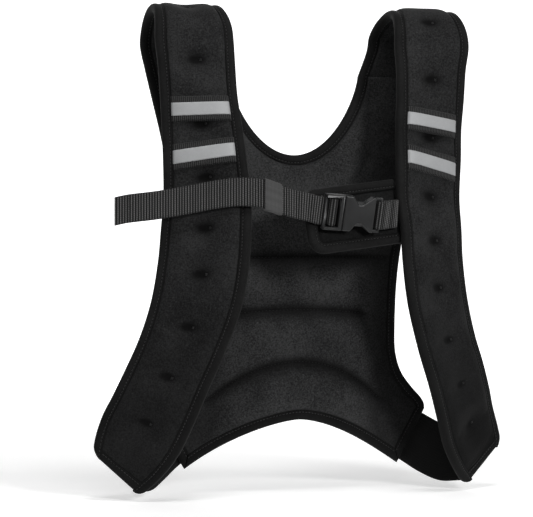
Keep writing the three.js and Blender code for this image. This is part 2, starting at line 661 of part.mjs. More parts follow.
function buildBindings() {
  // The edge tape follows the outer rows and columns of the panel's own grid, at three insets.
  const grids = EDGE_TAPE_STEPS.map((inset) => panelGrid(inset));
  const [lastRow, lastColumn] = [grids[0].length - 1, PANEL_SHARES.length - 1];
  const ring = (row, column) => {
    const places = grids.map((grid) => grid[row][column]);
    const [rim, shoulder, foot] = places.map((place) => panelPoint(place.x, place.y));
    return edgeTapeRing(rim, shoulder, foot, panelNormal(places[2].x, places[2].y));
  };
  const along = (side, outerEdge) => {
    const strap = STRAPS[side];
    return [0, ...strap.rows].map((row) => strap.edgeRing(row, outerEdge));
  };
  const neck = PANEL_SHARES.flatMap(
    (share, column) => (Math.abs(share) < SEAM_SHARE ? [ring(0, column)] : []));
  const round = [...along('left', false), ...neck, ...along('right', false).reverse()];
  addMesh('neck_binding', bar(round), EDGE_TAPE);

  for (const side of Object.keys(SIDES)) {
    const column = side === 'left' ? 0 : lastColumn;
    const panelRings = grids[0].map((_, row) => ring(row, column)).slice(1);
    // The tape stops a gap short of the hem's tape at the mitred corner.
    const [above, corner] = panelRings.slice(-2);
    const back = (2 * GAP) / corner[2].distanceTo(above[2]);
    corner.forEach((point, i) => point.lerp(above[i], back));
    addMesh(`armhole_binding_${side}`, bar([...along(side, true), ...panelRings]), EDGE_TAPE);
  }
  addMesh('hem_binding', bar(PANEL_SHARES.map((_, column) => ring(lastRow, column))), EDGE_TAPE);
}

function buildSideBand(side) {
  const sign = SIDES[side];
  const edge = (row, end) => new THREE.Vector3(
    sign * HALF_SPAN * row[`${end}X`], ARCH_RADIUS * row[`${end}Back`], -STRAP_DROP * row[`${end}Down`]);
  const top = new THREE.CatmullRomCurve3(BAND_ROWS.map((row) => edge(row, 'top')));
  const low = new THREE.CatmullRomCurve3(BAND_ROWS.map((row) => edge(row, 'low')));
  const steps = 2 * (BAND_ROWS.length - 1);
  const sheet = (offset) => {
    const rows = [];
    for (let i = 0; i <= steps; i += 1) {
      const [from, to] = [top.getPoint(i / steps), low.getPoint(i / steps)];
      const normal = top.getTangent(i / steps).cross(to.clone().sub(from)).normalize();
      rows.push([0, 0.5, 1].map((share) => shifted(from.clone().lerp(to, share), normal, offset)));
    }
    return rows;
  };
  addMesh(`side_band_${side}`, shell(sheet(BAND_THICKNESS / 2), sheet(-BAND_THICKNESS / 2)), NEOPRENE);
}

// A flat ribbon along a route. Its width stands across the route, close to upright.
function ribbon(route, width, thickness) {
  const rings = route.map((point, i) => {
    const ahead = route[Math.min(route.length - 1, i + 1)];
    const behind = route[Math.max(0, i - 1)];
    const along = ahead.clone().sub(behind).normalize();
    const normal = new THREE.Vector3(along.y, -along.x, 0).normalize();
    const across = new THREE.Vector3(0, 0, 1);
    const corner = (side, face) => shifted(
      shifted(point, across, side * width / 2), normal, face * thickness / 2);
    return [corner(-1, -1), corner(1, -1), corner(1, 1), corner(-1, 1)];
  });
  return bar(rings);
}

// Chest strap, buckle and keeper. They are laid out on one straight line, and then the buckle is tipped
// to the way it hangs, with the webbing turning into it on both sides.
const BUCKLE_Y = -CHEST_FORWARD;
const BUCKLE_Z = -CHEST_DROP - 1.5;
const FRAME_LEFT = BUCKLE_X - MALE_LENGTH;
const SLEEVE_START = BUCKLE_X + GAP;
const SLEEVE_END = SLEEVE_START + FEMALE_LENGTH;
const BAR_CENTRE = FRAME_LEFT + BAR_SIZE + SLOT_WIDTH + BAR_SIZE / 2;
const END_BAR_CENTRE = SLEEVE_END + SLOT_WIDTH + BAR_SIZE / 2;
const LAYER_STEP = WEBBING_THICKNESS + LAYER_GAP;
const WRAP = BAR_SIZE * Math.SQRT1_2 + GAP + WEBBING_THICKNESS / 2;

// Tips a piece about the buckle's middle. The turn fades out over the webbing on both sides.
function tipped(geometry) {
  const centre = new THREE.Vector3(BUCKLE_X, BUCKLE_Y, BUCKLE_Z);
  const places = geometry.getAttribute('position');
  const point = new THREE.Vector3();
  for (let i = 0; i < places.count; i += 1) {
    point.fromBufferAttribute(places, i);
    const outside = Math.max(FRAME_LEFT - point.x, point.x - END_BAR_CENTRE - WRAP, 0);
    const share = smooth(1 - outside / BUCKLE_HEIGHT);
    const turn = new THREE.Euler(
      THREE.MathUtils.degToRad(BUCKLE_PITCH) * share, THREE.MathUtils.degToRad(BUCKLE_ROLL) * share, 0);
    point.sub(centre).applyEuler(turn).add(centre);
    places.setXYZ(i, point.x, point.y, point.z);
  }
  return geometry;
}

// A half turn of webbing round a bar, from behind it to in front of it.
function halfTurn(centreX, direction) {
  return Array.from({ length: 7 }, (_, i) => {
    const turn = Math.PI * i / 6;
    return new THREE.Vector3(
      centreX + direction * WRAP * Math.sin(turn), BUCKLE_Y + WRAP * Math.cos(turn), BUCKLE_Z);
  });
}

function buildChestStrap() {
  const [keeper, ...rest] = TAIL_ROUTE.map((row) => new THREE.Vector3(
    HALF_SPAN * row.x, -CHEST_FORWARD * row.forward, -CHEST_DROP * row.down));
  // Both layers pass behind the frame's first rail, and the front one comes up through the slot.
  const behindRail = BUCKLE_Y + BAR_SIZE / 2 + GAP + WEBBING_THICKNESS / 2;
  const rail = new THREE.Vector3(FRAME_LEFT + BAR_SIZE / 2, behindRail, BUCKLE_Z);
  const rising = [
    new THREE.Vector3(BAR_CENTRE - BAR_SIZE / 2 - GAP, BUCKLE_Y - WRAP, BUCKLE_Z),
    new THREE.Vector3(FRAME_LEFT + BAR_SIZE + GAP, behindRail, BUCKLE_Z),
  ];
  const entry = new THREE.Vector3(FRAME_LEFT - 2 * LAYER_STEP, behindRail, BUCKLE_Z);
  const curve = new THREE.CatmullRomCurve3([entry, keeper, ...rest]);
  const behind = (point) => new THREE.Vector3(point.x, point.y + LAYER_STEP, point.z);
  const back = curve.getSpacedPoints(BACK_STEPS)
    .filter((point, i) => i % 3 === 0 && point.x > rest[1].x).map(behind).reverse();
  addMesh('chest_webbing_left', tipped(ribbon(
    [...back, behind(rail), ...halfTurn(BAR_CENTRE, 1), ...rising, rail,
      ...curve.getSpacedPoints(TAIL_STEPS)],
    WEBBING_WIDTH, WEBBING_THICKNESS)), WEBBING);

  // The keeper is a closed loop round both layers: a ring that follows their direction and their fall.
  const run = curve.getTangent(1 / (curve.points.length - 1)).negate();
  const yaw = Math.atan2(run.y, run.x);
  const ringShape = (grow, path) => polygon([[-1, -1], [1, -1], [1, 1], [-1, 1]].map(([x, z]) => [
    x * ((LAYER_STEP + WEBBING_THICKNESS) / 2 + grow), z * (WEBBING_WIDTH / 2 + grow)]), path);
  const outline = ringShape(KEEPER_EASE + KEEPER_THICKNESS, new THREE.Shape());
  outline.holes.push(ringShape(KEEPER_EASE, new THREE.Path()));
  const geometry = new THREE.ExtrudeGeometry(outline, { depth: KEEPER_WIDTH, bevelEnabled: false });
  geometry.translate(0, 0, -KEEPER_WIDTH / 2);
  const fall = run.z / Math.hypot(run.x, run.y);
  geometry.applyMatrix4(new THREE.Matrix4().makeShear(0, 0, 0, 0, 0, fall));
  const along = new THREE.Vector3(Math.cos(yaw), Math.sin(yaw), 0);
  const upright = new THREE.Vector3(0, 0, 1);
  const ring = addMesh('webbing_keeper', geometry, ELASTIC);
  ring.setRotationFromMatrix(new THREE.Matrix4().makeBasis(
    new THREE.Vector3().crossVectors(upright, along), upright, along));
  ring.position.set(keeper.x, keeper.y + LAYER_STEP / 2, keeper.z);
}

// An upright plate of an outline in x and z, with its middle layer at y 0.
function plate(outline, thickness, bevel) {
  const geometry = new THREE.ExtrudeGeometry(outline, {
    depth: thickness - 2 * bevel, bevelThickness: bevel, bevelSize: bevel, bevelOffset: -bevel,
    bevelSegments: 1,
  });
  geometry.translate(0, 0, bevel - thickness / 2);
  geometry.rotateX(Math.PI / 2);
  return geometry;
}

function polygon(corners, path = new THREE.Shape()) {
  corners.forEach(([x, z], i) => (i ? path.lineTo(x, z) : path.moveTo(x, z)));
  return path;
}

const wasm = await Module();
wasm.setup();

function solid(geometry) {
  const bare = geometry.clone();
  bare.deleteAttribute('normal');
  bare.deleteAttribute('uv');
  const merged = BufferGeometryUtils.mergeVertices(bare, 1e-3);
  return new wasm.Manifold(new wasm.Mesh({
    numProp: 3,
    vertProperties: new Float32Array(merged.attributes.position.array),
    triVerts: new Uint32Array(merged.index.array),
  }));
}

function meshOf(manifold) {
  const mesh = manifold.getMesh();
  const geometry = new THREE.BufferGeometry();
  geometry.setAttribute('position', new THREE.BufferAttribute(new Float32Array(mesh.vertProperties), 3));
  geometry.setIndex(new THREE.BufferAttribute(new Uint32Array(mesh.triVerts), 1));
  return geometry;
}

// A block between two x values, centred on the buckle's middle line.
function block(left, right, height, thickness) {
  const geometry = new THREE.BoxGeometry(right - left, thickness, height);
  geometry.translate((left + right) / 2, 0, 0);
  return solid(geometry);
}

function buildBuckle() {
  const half = BUCKLE_HEIGHT / 2;
  const through = 2 * BUCKLE_THICKNESS;

  // Male half: a ladder frame with two slots and a forked plug.
  const frame = polygon([[FRAME_LEFT, -half], [BUCKLE_X, -half], [BUCKLE_X, half], [FRAME_LEFT, half]]);
  const slotsEnd = FRAME_LEFT + 2 * BAR_SIZE + 2 * SLOT_WIDTH;
  const railSpace = block(FRAME_LEFT - GAP, slotsEnd, SLOT_HEIGHT, through)
    .subtract(block(FRAME_LEFT - 2 * GAP, slotsEnd + GAP, SLOT_HEIGHT, BAR_SIZE));
  const fork = block(BUCKLE_X + PLUG_THICKNESS, BUCKLE_X + PLUG_LENGTH + GAP, PLUG_HEIGHT / 4, through);
  const male = solid(plate(frame, BUCKLE_THICKNESS, BUCKLE_BEVEL)).subtract(railSpace)
    .subtract(block(FRAME_LEFT + BAR_SIZE, FRAME_LEFT + BAR_SIZE + SLOT_WIDTH, SLOT_HEIGHT, through))
    .subtract(block(slotsEnd - SLOT_WIDTH, slotsEnd, SLOT_HEIGHT, through))
    .add(block(BUCKLE_X - BUCKLE_BEVEL, BUCKLE_X + PLUG_LENGTH, PLUG_HEIGHT, PLUG_THICKNESS).subtract(fork));

  // Female half: a waisted sleeve whose notches show the plug's arms, and a bar for the webbing.
  const upper = SLEEVE_OUTLINE.map((row) => [
    SLEEVE_START + FEMALE_LENGTH * row.along, mix(WAIST_HEIGHT / 2, half, row.height)]);
  const sleeve = polygon([...upper, ...upper.map(([x, z]) => [x, -z]).reverse()]);
  const socket = block(
    SLEEVE_START - GAP, SLEEVE_START + PLUG_LENGTH, PLUG_HEIGHT + 2 * GAP, PLUG_THICKNESS + 2 * GAP);
  const ears = block(SLEEVE_END - BAR_SIZE, SLEEVE_END + SLOT_WIDTH + BAR_SIZE, BUCKLE_HEIGHT, BAR_SIZE)
    .subtract(block(SLEEVE_END, SLEEVE_END + SLOT_WIDTH, SLOT_HEIGHT, through));
  const female = solid(plate(sleeve, BUCKLE_THICKNESS, BUCKLE_BEVEL)).subtract(socket).add(ears);
  for (const [name, body] of [['buckle_male', male], ['buckle_female', female]]) {
    addMesh(name, tipped(meshOf(body).translate(0, BUCKLE_Y, BUCKLE_Z)), PLASTIC);
  }
}

// Short webbing from the buckle's end bar, doubled, to the inner edge of the right strap.
function buildRightWebbing() {
  const rim = STRAPS.right.middle(lengthAtDrop(CHEST_DROP), 0);
  const seatX = rim.x - GAP - WEBBING_THICKNESS;
  const layer = (offset) => [1 / 3, 2 / 3, 1].map((share) => new THREE.Vector3(
    mix(END_BAR_CENTRE, seatX, share),
    mix(BUCKLE_Y, rim.y, share) + offset * mix(1, SEWN_LAYER_SHARE, share), BUCKLE_Z));
  const route = [...layer(WRAP).reverse(), ...halfTurn(END_BAR_CENTRE, -1), ...layer(-WRAP)];
  addMesh('chest_webbing_right', tipped(ribbon(route, WEBBING_WIDTH, WEBBING_THICKNESS)), WEBBING);
}

// Padded tab behind the buckle, with rounded free corners and edge tape. It hangs from the inner edge of
// the right strap and leans with it.
function buildBucklePad() {
  const rimAt = (drop) => STRAPS.right.middle(lengthAtDrop(drop), 0);
  const [upper, rim, lower] = [-0.5, 0, 0.5].map((share) => rimAt(CHEST_DROP + PAD_HEIGHT * share));
  const right = rim.x + EDGE_TAPE_WIDTH / 4;
  const rightY = rim.y + EDGE_TAPE_THICKNESS + PAD_SETBACK;
  const leftY = BUCKLE_Y + BUCKLE_THICKNESS / 2 + PAD_THICKNESS / 2 + PAD_CLEARANCE;
  // Outline points from the right end along the top, round the left end and back along the bottom.
  const outline = (inset) => {
    const z = PAD_HEIGHT / 2 - inset;
    const corner = (startDegrees, centreZ) => Array.from({ length: CORNER_STEPS + 1 }, (_, i) => {
      const angle = THREE.MathUtils.degToRad(startDegrees + 90 * i / CORNER_STEPS);
      return new THREE.Vector2(
        PAD_CORNER - PAD_WIDTH + (PAD_CORNER - inset) * Math.cos(angle),
        centreZ + (PAD_CORNER - inset) * Math.sin(angle));
    });
    const centre = PAD_HEIGHT / 2 - PAD_CORNER;
    return [
      new THREE.Vector2(0, z), new THREE.Vector2(-PAD_WIDTH / 2, z), ...corner(90, centre),
      ...corner(180, -centre), new THREE.Vector2(-PAD_WIDTH / 2, -z), new THREE.Vector2(0, -z),
    ];
  };
  const rings = outline(0).map((_, i) => {
    const [rimPoint, shoulder, foot] = EDGE_TAPE_STEPS.map((inset) => {
      const point = outline(inset)[i];
      return new THREE.Vector3(point.x, 0, point.y);
    });
    return edgeTapeRing(rimPoint, shoulder, foot, new THREE.Vector3(0, -1, 0));
  });
  const body = plate(new THREE.Shape(outline(EDGE_TAPE_WIDTH + GAP)), PAD_THICKNESS, PAD_BEVEL);
  const forwards = (rightY - leftY) / PAD_WIDTH;
  const leaning = (upper.y - lower.y) / (upper.z - lower.z);
  for (const [name, geometry, finish] of [
    ['buckle_pad', body, NEOPRENE], ['buckle_pad_binding', bar(rings), EDGE_TAPE],
  ]) {
    geometry.rotateY(-THREE.MathUtils.degToRad(PAD_TILT));
    geometry.applyMatrix4(new THREE.Matrix4().makeShear(forwards, 0, 0, 0, 0, leaning));
    addMesh(name, geometry, finish).position.set(right, rightY, -CHEST_DROP);
  }
}

buildPanel();
for (const side of Object.keys(SIDES)) buildStrap(side);
buildBindings();
for (const side of Object.keys(SIDES)) buildSideBand(side);
buildChestStrap();
buildBuckle();
buildRightWebbing();
buildBucklePad();

export default vest;
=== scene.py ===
"""Looks of a weighted vest: padded straps and back panel, edge tape, thread, webbing and buckle.

Shapes are worked out in millimetres on numpy grids and put into meshes in metres, in the part's
frame: x to the viewer's right, y to the back, z up, with the origin between the undersides of the
two arches.
"""

from math import cos, pi, radians, sin, sqrt

import bmesh
import bpy
import numpy as np
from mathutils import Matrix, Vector


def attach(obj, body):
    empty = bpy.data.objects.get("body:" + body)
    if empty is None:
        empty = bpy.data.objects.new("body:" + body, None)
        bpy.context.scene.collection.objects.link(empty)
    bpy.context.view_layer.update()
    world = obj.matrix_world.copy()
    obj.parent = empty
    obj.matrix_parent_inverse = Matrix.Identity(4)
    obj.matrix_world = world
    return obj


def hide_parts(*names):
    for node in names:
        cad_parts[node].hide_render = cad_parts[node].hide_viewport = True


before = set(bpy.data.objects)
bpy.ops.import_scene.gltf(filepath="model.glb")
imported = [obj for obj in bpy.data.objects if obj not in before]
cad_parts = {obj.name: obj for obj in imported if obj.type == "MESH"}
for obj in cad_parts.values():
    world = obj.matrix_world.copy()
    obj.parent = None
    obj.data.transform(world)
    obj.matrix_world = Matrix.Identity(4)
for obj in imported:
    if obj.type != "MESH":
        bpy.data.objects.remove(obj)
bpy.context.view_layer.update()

# Sizes in millimetres, as in the CAD part. The vest: drop, half width, reach and arch radius.
DROP, SPAN, REACH, ARCH = 443.0, 203.0, 70.0, 32.5
# The seam behind the shoulders, and the place of the chest strap.
SEAM, CHEST_Y, CHEST_Z = 50.0, -76.0, -180.0
# Padding and its edge, width and half thickness of the edge tape, and the gap between pieces.
THICK, EDGE, TAPE, TAPE_HALF, GAP = 16.0, 7.0, 9.0, 4.2, 0.4
# Neck, sides and hem of the back panel.
NECK_X, NECK_DEPTH, NECK_POWER, SIDE_X = 65.0, 76.0, 1.43, 146.0
PANEL_DROP, HEM_X, HEM_RISE, HEM_POWER = 424.0, 107.0, 46.0, 1.6
# Widths of the ribbed tape and its film, then webbing and buckle.
RIBBED, FILM = 23.0, 12.0
WEB, WEB_THICK, LAYER = 26.0, 1.6, 2.4
BUCKLE_X, BUCKLE_Z, BAR, SLOT = 12.0, -181.5, 2.6, 4.6
FRAME_LEFT, END_BAR = BUCKLE_X - 18.0, BUCKLE_X + GAP + 30.0 + SLOT + BAR / 2
WRAP = BAR * sqrt(0.5) + GAP + WEB_THICK / 2
BUCKLE_THICKNESS, PAD_WIDTH, PAD_HEIGHT, PAD_THICKNESS = 9.0, 94.0, 60.0, 6.0
PAD_CORNER, PAD_CLEARANCE, PAD_SETBACK = 15.0, 6.5, 2.6
SIDES = {"left": -1.0, "right": 1.0}

# Pitch of the edge tape's stitches, their place from foot to rim, and the ribs of the two tapes.
STITCH, GROOVE, RIB_PITCH, RIBBED_PITCH = 3.2, 0.19, 3.1, 1.8
# Half thickness of the buckle pad's filling at its rim.
PAD_EDGE = 2.6
# Radii of a sewn dent along and across the strap, and half the thickness at its bottom.
DENT_LONG, DENT_WIDE, DENT_HALF = 15.0, 17.0, 1.1
# Rows and columns of a strap for the cloth and in its mesh, and points along its arch.
STRAP_COARSE, STRAP_FINE, ARCH_STEPS = (132, 19), (372, 47), 8
# Steps of the panel's grid. BANDS: rows from its top by way of the three creases to the hem.
PANEL_COARSE, PANEL_FINE, NECK_COLUMNS, SEAM_COLUMNS = (3, 3), (7, 6), 8, 5
BANDS = [9, 6, 6, 7]
# How far a sewn channel slopes on each side of its crease.
CHANNEL = 25

# Strap edges from the lower end up. Columns: outer x, forward, down, then inner x, forward, down,
# as shares of SPAN, REACH and DROP.
STRAP_LEVELS = np.array([
    [1.000, -0.107, 0.910, 0.788, 0.079, 1.000], [0.980, -0.129, 0.871, 0.709, 0.286, 0.959],
    [0.951, -0.100, 0.831, 0.645, 0.443, 0.912], [0.916, 0.029, 0.790, 0.591, 0.600, 0.849],
    [0.867, 0.157, 0.734, 0.537, 0.714, 0.781], [0.813, 0.243, 0.673, 0.468, 0.829, 0.700],
    [0.764, 0.321, 0.596, 0.399, 0.957, 0.600], [0.734, 0.364, 0.510, 0.369, 1.000, 0.510],
    [0.724, 0.393, 0.447, 0.360, 0.993, 0.447], [0.714, 0.407, 0.381, 0.350, 0.893, 0.381],
    [0.719, 0.436, 0.296, 0.360, 0.779, 0.296], [0.724, 0.421, 0.233, 0.369, 0.679, 0.233],
    [0.734, 0.450, 0.167, 0.384, 0.593, 0.167], [0.744, 0.450, 0.104, 0.389, 0.536, 0.104]])
# Tacks: shares of DROP up the front, then degrees over the arch.
# Tapes: share of DROP, and rise in widths of FILM.
TACKS = {"left": ([0.844, 0.749, 0.646, 0.537, 0.442, 0.338, 0.226, 0.094], [74, 168]),
         "right": ([0.867, 0.778, 0.681, 0.569, 0.469, 0.376, 0.250, 0.126], [43, 136])}
TAPES = {"left": {"lower": (0.289, 0.74), "upper": (0.196, 0.03)},
         "right": {"lower": (0.305, 1.2), "upper": (0.218, 0.72)}}
# Side of the back panel: down as a share of PANEL_DROP, half width as a share of SIDE_X.
PANEL_SIDE = np.array([
    [0.118, 1.000], [0.175, 0.959], [0.252, 0.904], [0.330, 0.856], [0.420, 0.795], [0.521, 0.743],
    [0.600, 0.719], [0.690, 0.712], [0.745, 0.719], [0.790, 0.760], [0.826, 0.836], [0.852, 0.905],
    [0.872, 0.930], [0.893, 0.905], [1.000, 0.733]])
# Creases: down and sag as shares of PANEL_DROP, half length as a share of HEM_X.
CREASES = [(0.528, 0.0, 0.86), (0.646, 0.009, 0.61), (0.762, 0.086, 0.80)]
# Side bands: top x, back, down, then the same of the lower edge, in shares of SPAN, ARCH and DROP.
BAND = np.array([
    [0.616, 1.40, 0.836, 0.500, 1.40, 0.936], [0.668, 1.36, 0.850, 0.555, 1.32, 0.953],
    [0.742, 1.12, 0.871, 0.636, 1.00, 0.979], [0.830, 0.88, 0.892, 0.710, 0.55, 0.995],
    [0.930, 0.62, 0.905, 0.790, 0.12, 0.993]])
# Free end of the chest strap from the keeper to its tip: x, forward and down in shares.
TAIL = np.array([
    [-0.268, 0.990, 0.930], [-0.310, 0.975, 0.914], [-0.400, 0.925, 0.905], [-0.490, 0.850, 0.914],
    [-0.640, 0.700, 0.947], [-0.765, 0.590, 0.972], [-0.896, 0.500, 0.991], [-0.948, 0.475, 1.004]])


# ---- Numbers and curves ----

def smooth(value):
    """Soft step from 0 to 1: 3 v^2 - 2 v^3, held at its ends."""
    v = np.clip(value, 0, 1)
    return v * v * (3 - 2 * v)


def unit(v):
    """Each vector divided by its own length."""
    return v / np.maximum(np.linalg.norm(v, axis=-1, keepdims=True), 1e-9)


def spline(points, t, power=0.5):
    """Curve through points: a cubic between each pair, with slopes from the neighbours weighted by
    distance to the power given. t runs from 0 to 1 over the points."""
    p = np.asarray(points, float)
    p = np.concatenate([2 * p[:1] - p[1:2], p, 2 * p[-1:] - p[-2:-1]])
    x = np.clip(np.asarray(t, float), 0, 1) * (len(p) - 3)
    i = np.minimum(x.astype(int), len(p) - 4)
    w = (x - i).reshape(x.shape + (1,) * (p.ndim - 1))
    a, b, c, d = (p[i + k] for k in range(4))
    gap = [np.maximum(np.linalg.norm(r - q, axis=-1, keepdims=True), 1e-6) ** power
           for q, r in ((a, b), (b, c), (c, d))]
    start = gap[1] * ((b - a) / gap[0] - (c - a) / (gap[0] + gap[1])) + (c - b)
    stop = (c - b) + gap[1] * ((d - c) / gap[2] - (d - b) / (gap[1] + gap[2]))
    return ((2 * w**3 - 3 * w**2 + 1) * b + (w**3 - 2 * w**2 + w) * start
            + (3 * w**2 - 2 * w**3) * c + (w**3 - w**2) * stop)


def pick(sheet, rows, columns):
    """Points of a sheet between its rows and columns, both given as shares from 0 to 1."""
    part = spline(sheet, rows, 0)
    return np.swapaxes(spline(np.swapaxes(part, 0, 1), columns, 0), 0, 1)


def lengths(path):
    """Length along a path up to each of its points."""
    return np.concatenate([[0], np.cumsum(np.linalg.norm(np.diff(path, axis=0), axis=1))])


def sample(values, run, at):
    """Rows of three numbers at other lengths of a path. run holds the lengths of those given."""
    return np.stack([np.interp(at, run, values[:, k]) for k in range(3)], 1)


def even(path, step):
    """The path's points again, a fixed step apart."""
    run = lengths(path)
    return sample(path, run, np.linspace(0, run[-1], max(2, int(run[-1] / step))))


def field(*parts):
    """Arrays broadcast to one shape, side by side in a last axis."""
    return np.stack(np.broadcast_arrays(*parts), -1)


def ripple(points, size, seed):
    """Soft unevenness from -1 to 1: a sum of six sine waves of about the given wavelength."""
    rng = np.random.default_rng(seed)
    total = 0
    for _ in range(6):
        wave = unit(rng.normal(size=3)) * 2 * pi / (size * rng.uniform(0.7, 1.6))
        total = total + np.sin(points @ wave + rng.uniform(0, 2 * pi))
    return total / 3


# ---- Meshes ----

def mesh_object(name, points, faces, run=None):
    """Object from points in millimetres and lists of corners. Faces are turned outwards: the sum of
    the triangles' signed volumes has to be positive. run is kept as the point attribute 'run'."""
    p = np.asarray(points, float)
    quads = np.array([f[:4] for f in faces if len(f) == 4])
    a, b, c, d = (p[quads[:, k]] for k in range(4))
    volume = np.einsum("ij,ij->", a, np.cross(b, c)) + np.einsum("ij,ij->", a, np.cross(c, d))
    if volume < 0:
        faces = [f[::-1] for f in faces]
    mesh = bpy.data.meshes.new(name)
    mesh.from_pydata((p * 0.001).tolist(), [], faces)
    mesh.polygons.foreach_set("use_smooth", np.ones(len(faces), bool))
    if run is not None:
        layer = mesh.attributes.new("run", "FLOAT_VECTOR", "POINT")
        layer.data.foreach_set("vector", np.asarray(run, np.float32).ravel())
    mesh.update()
    piece = bpy.data.objects.new(name, mesh)
    bpy.context.scene.collection.objects.link(piece)
    return piece


def cells(rows, columns, around=False, first=0):
    """Corner lists of a grid's four-sided faces, closed round its columns if asked."""
    r = np.arange(rows - 1)[:, None]
    c = np.arange(columns if around else columns - 1)
    n = (c + 1) % columns
    corner = [r * columns + c, r * columns + n, (r + 1) * columns + n, (r + 1) * columns + c]
    return field(*corner).reshape(-1, 4) + first


def shell_faces(rows, columns):
    """Faces of two matching sheets and of the wall that joins their rims."""
    count = rows * columns
    top = cells(rows, columns)
    under = cells(rows, columns, first=count)[:, ::-1]
    grid = np.arange(count).reshape(rows, columns)
    rim = np.concatenate([grid[0, :-1], grid[:-1, -1], grid[-1, :0:-1], grid[:0:-1, 0]])
    after = np.roll(rim, -1)
    wall = np.stack([after, rim, rim + count, after + count], 1)
    return np.concatenate([top, under, wall]).tolist()


def shell(name, over, under, run=None):
    """A padded body between two sheets of points."""
    points = np.concatenate([over.reshape(-1, 3), under.reshape(-1, 3)])
    both = None if run is None else np.concatenate([run.reshape(-1, 3)] * 2)
    return mesh_object(name, points, shell_faces(*over.shape[:2]), both)


def tube(name, rings, run):
    """A closed body through matching rings: a grid that closes round each ring, with flat ends."""
    rows, columns = rings.shape[:2]
    faces = cells(rows, columns, around=True).tolist()
    faces.append(list(range(columns))[::-1])
    faces.append(list(range((rows - 1) * columns, rows * columns)))
    return mesh_object(name, rings.reshape(-1, 3), faces, run.reshape(-1, 3))


def loop(name, rings, run):
    """A ring-shaped body: a grid that closes in both directions."""
    rows, columns = rings.shape[:2]
    closed = np.concatenate([rings, rings[:1]])
    faces = cells(rows + 1, columns, around=True) % (rows * columns)
    return mesh_object(name, closed[:-1].reshape(-1, 3), faces.tolist(), run.reshape(-1, 3))


def threads(name, at, along, normal, length, width):
    """Short stitches: each is a rod of five rings of six points, arched along its normal, whose
    radius is width/2 times the square root of 1 - v^2 from end to end."""
    v, corners = np.array([-0.98, -0.6, 0, 0.6, 0.98]), 6
    each = len(v) * corners
    turn = np.arange(corners) * pi / 3
    along = unit(along)
    normal = unit(normal - along * np.sum(normal * along, -1, keepdims=True))
    side = np.cross(along, normal)
    radius = width / 2 * np.sqrt(1 - v**2)
    rise = width * 0.45 * (1 - v**2) - width * 0.2
    aside = (radius[:, None] * np.cos(turn))[None, :, :, None]
    upwards = (rise[:, None] + radius[:, None] * np.sin(turn))[None, :, :, None]
    points = (at[:, None, None] + along[:, None, None] * (v * length / 2)[None, :, None, None]
              + side[:, None, None] * aside + normal[:, None, None] * upwards)
    first = np.arange(len(at))[:, None] * each
    one = cells(len(v), corners, around=True)
    faces = (one[None] + first[:, None]).reshape(-1, 4).tolist()
    for end in (np.arange(corners)[::-1], np.arange(each - corners, each)):
        faces += (end[None] + first).tolist()
    run = np.repeat(np.arange(len(at)), each)[:, None] * np.array([[1.0, 0, 0]])
    return mesh_object(name, points.reshape(-1, 3), faces, run)


# Cloth of the padding. The sheets may grow a little and resist bending, so that they don't wrinkle.
CLOTH = {"quality": 6, "mass": 0.25, "tension_stiffness": 8, "compression_stiffness": 8,
         "bending_stiffness": 3, "shrink_min": -0.004, "use_pressure": True,
         "uniform_pressure_force": 4, "vertex_group_mass": "held"}
CLOTH_FRAMES = 20


def swell(over, under, hold, cap):
    """Cloth simulation of a padded body: its sheets are blown up by pressure while the points with
    hold 1 stay, and no point moves further than cap."""
    body = shell("cloth_try", over, under)
    group = body.vertex_groups.new(name="held")
    weights = np.concatenate([hold.ravel()] * 2)
    for index in np.nonzero(weights > 0.02)[0].tolist():
        group.add([index], float(weights[index]), "REPLACE")
    cloth = body.modifiers.new("Cloth", "CLOTH")
    for key, value in CLOTH.items():
        setattr(cloth.settings, key, value)
    cloth.settings.effector_weights.gravity = 0
    for step in range(1, CLOTH_FRAMES + 1):
        bpy.context.scene.frame_set(step)
    moved = body.evaluated_get(bpy.context.evaluated_depsgraph_get()).data
    points = np.zeros(len(moved.vertices) * 3, np.float32)
    moved.vertices.foreach_get("co", points)
    points = points.reshape(2, *over.shape).astype(float) * 1000
    bpy.data.objects.remove(body)
    bpy.context.scene.frame_set(1)
    both = np.stack([over, under])
    shift = points - both
    far = np.linalg.norm(shift, axis=-1, keepdims=True)
    shift *= np.tanh(far / cap) * cap / np.maximum(far, 1e-6) * (1 - hold)[None, ..., None]
    return over + shift[0], under + shift[1]


# ---- Shader maths ----

class Value:
    """A number that varies over a surface. Arithmetic on it adds Math nodes."""

    def __init__(self, finish, socket):
        self.finish, self.socket = finish, socket

    def math(self, operation, *others):
        return self.finish.node("ShaderNodeMath", {"operation": operation}, {
            i: v for i, v in enumerate((self, *others))})

    def __add__(self, other): return self.math("ADD", other)
    __radd__ = __add__
    def __mul__(self, other): return self.math("MULTIPLY", other)
    def __sub__(self, other): return self.math("SUBTRACT", other)
    def __pow__(self, other): return self.math("POWER", other)
    def __getitem__(self, name): return Value(self.finish, self.socket.node.outputs[name])


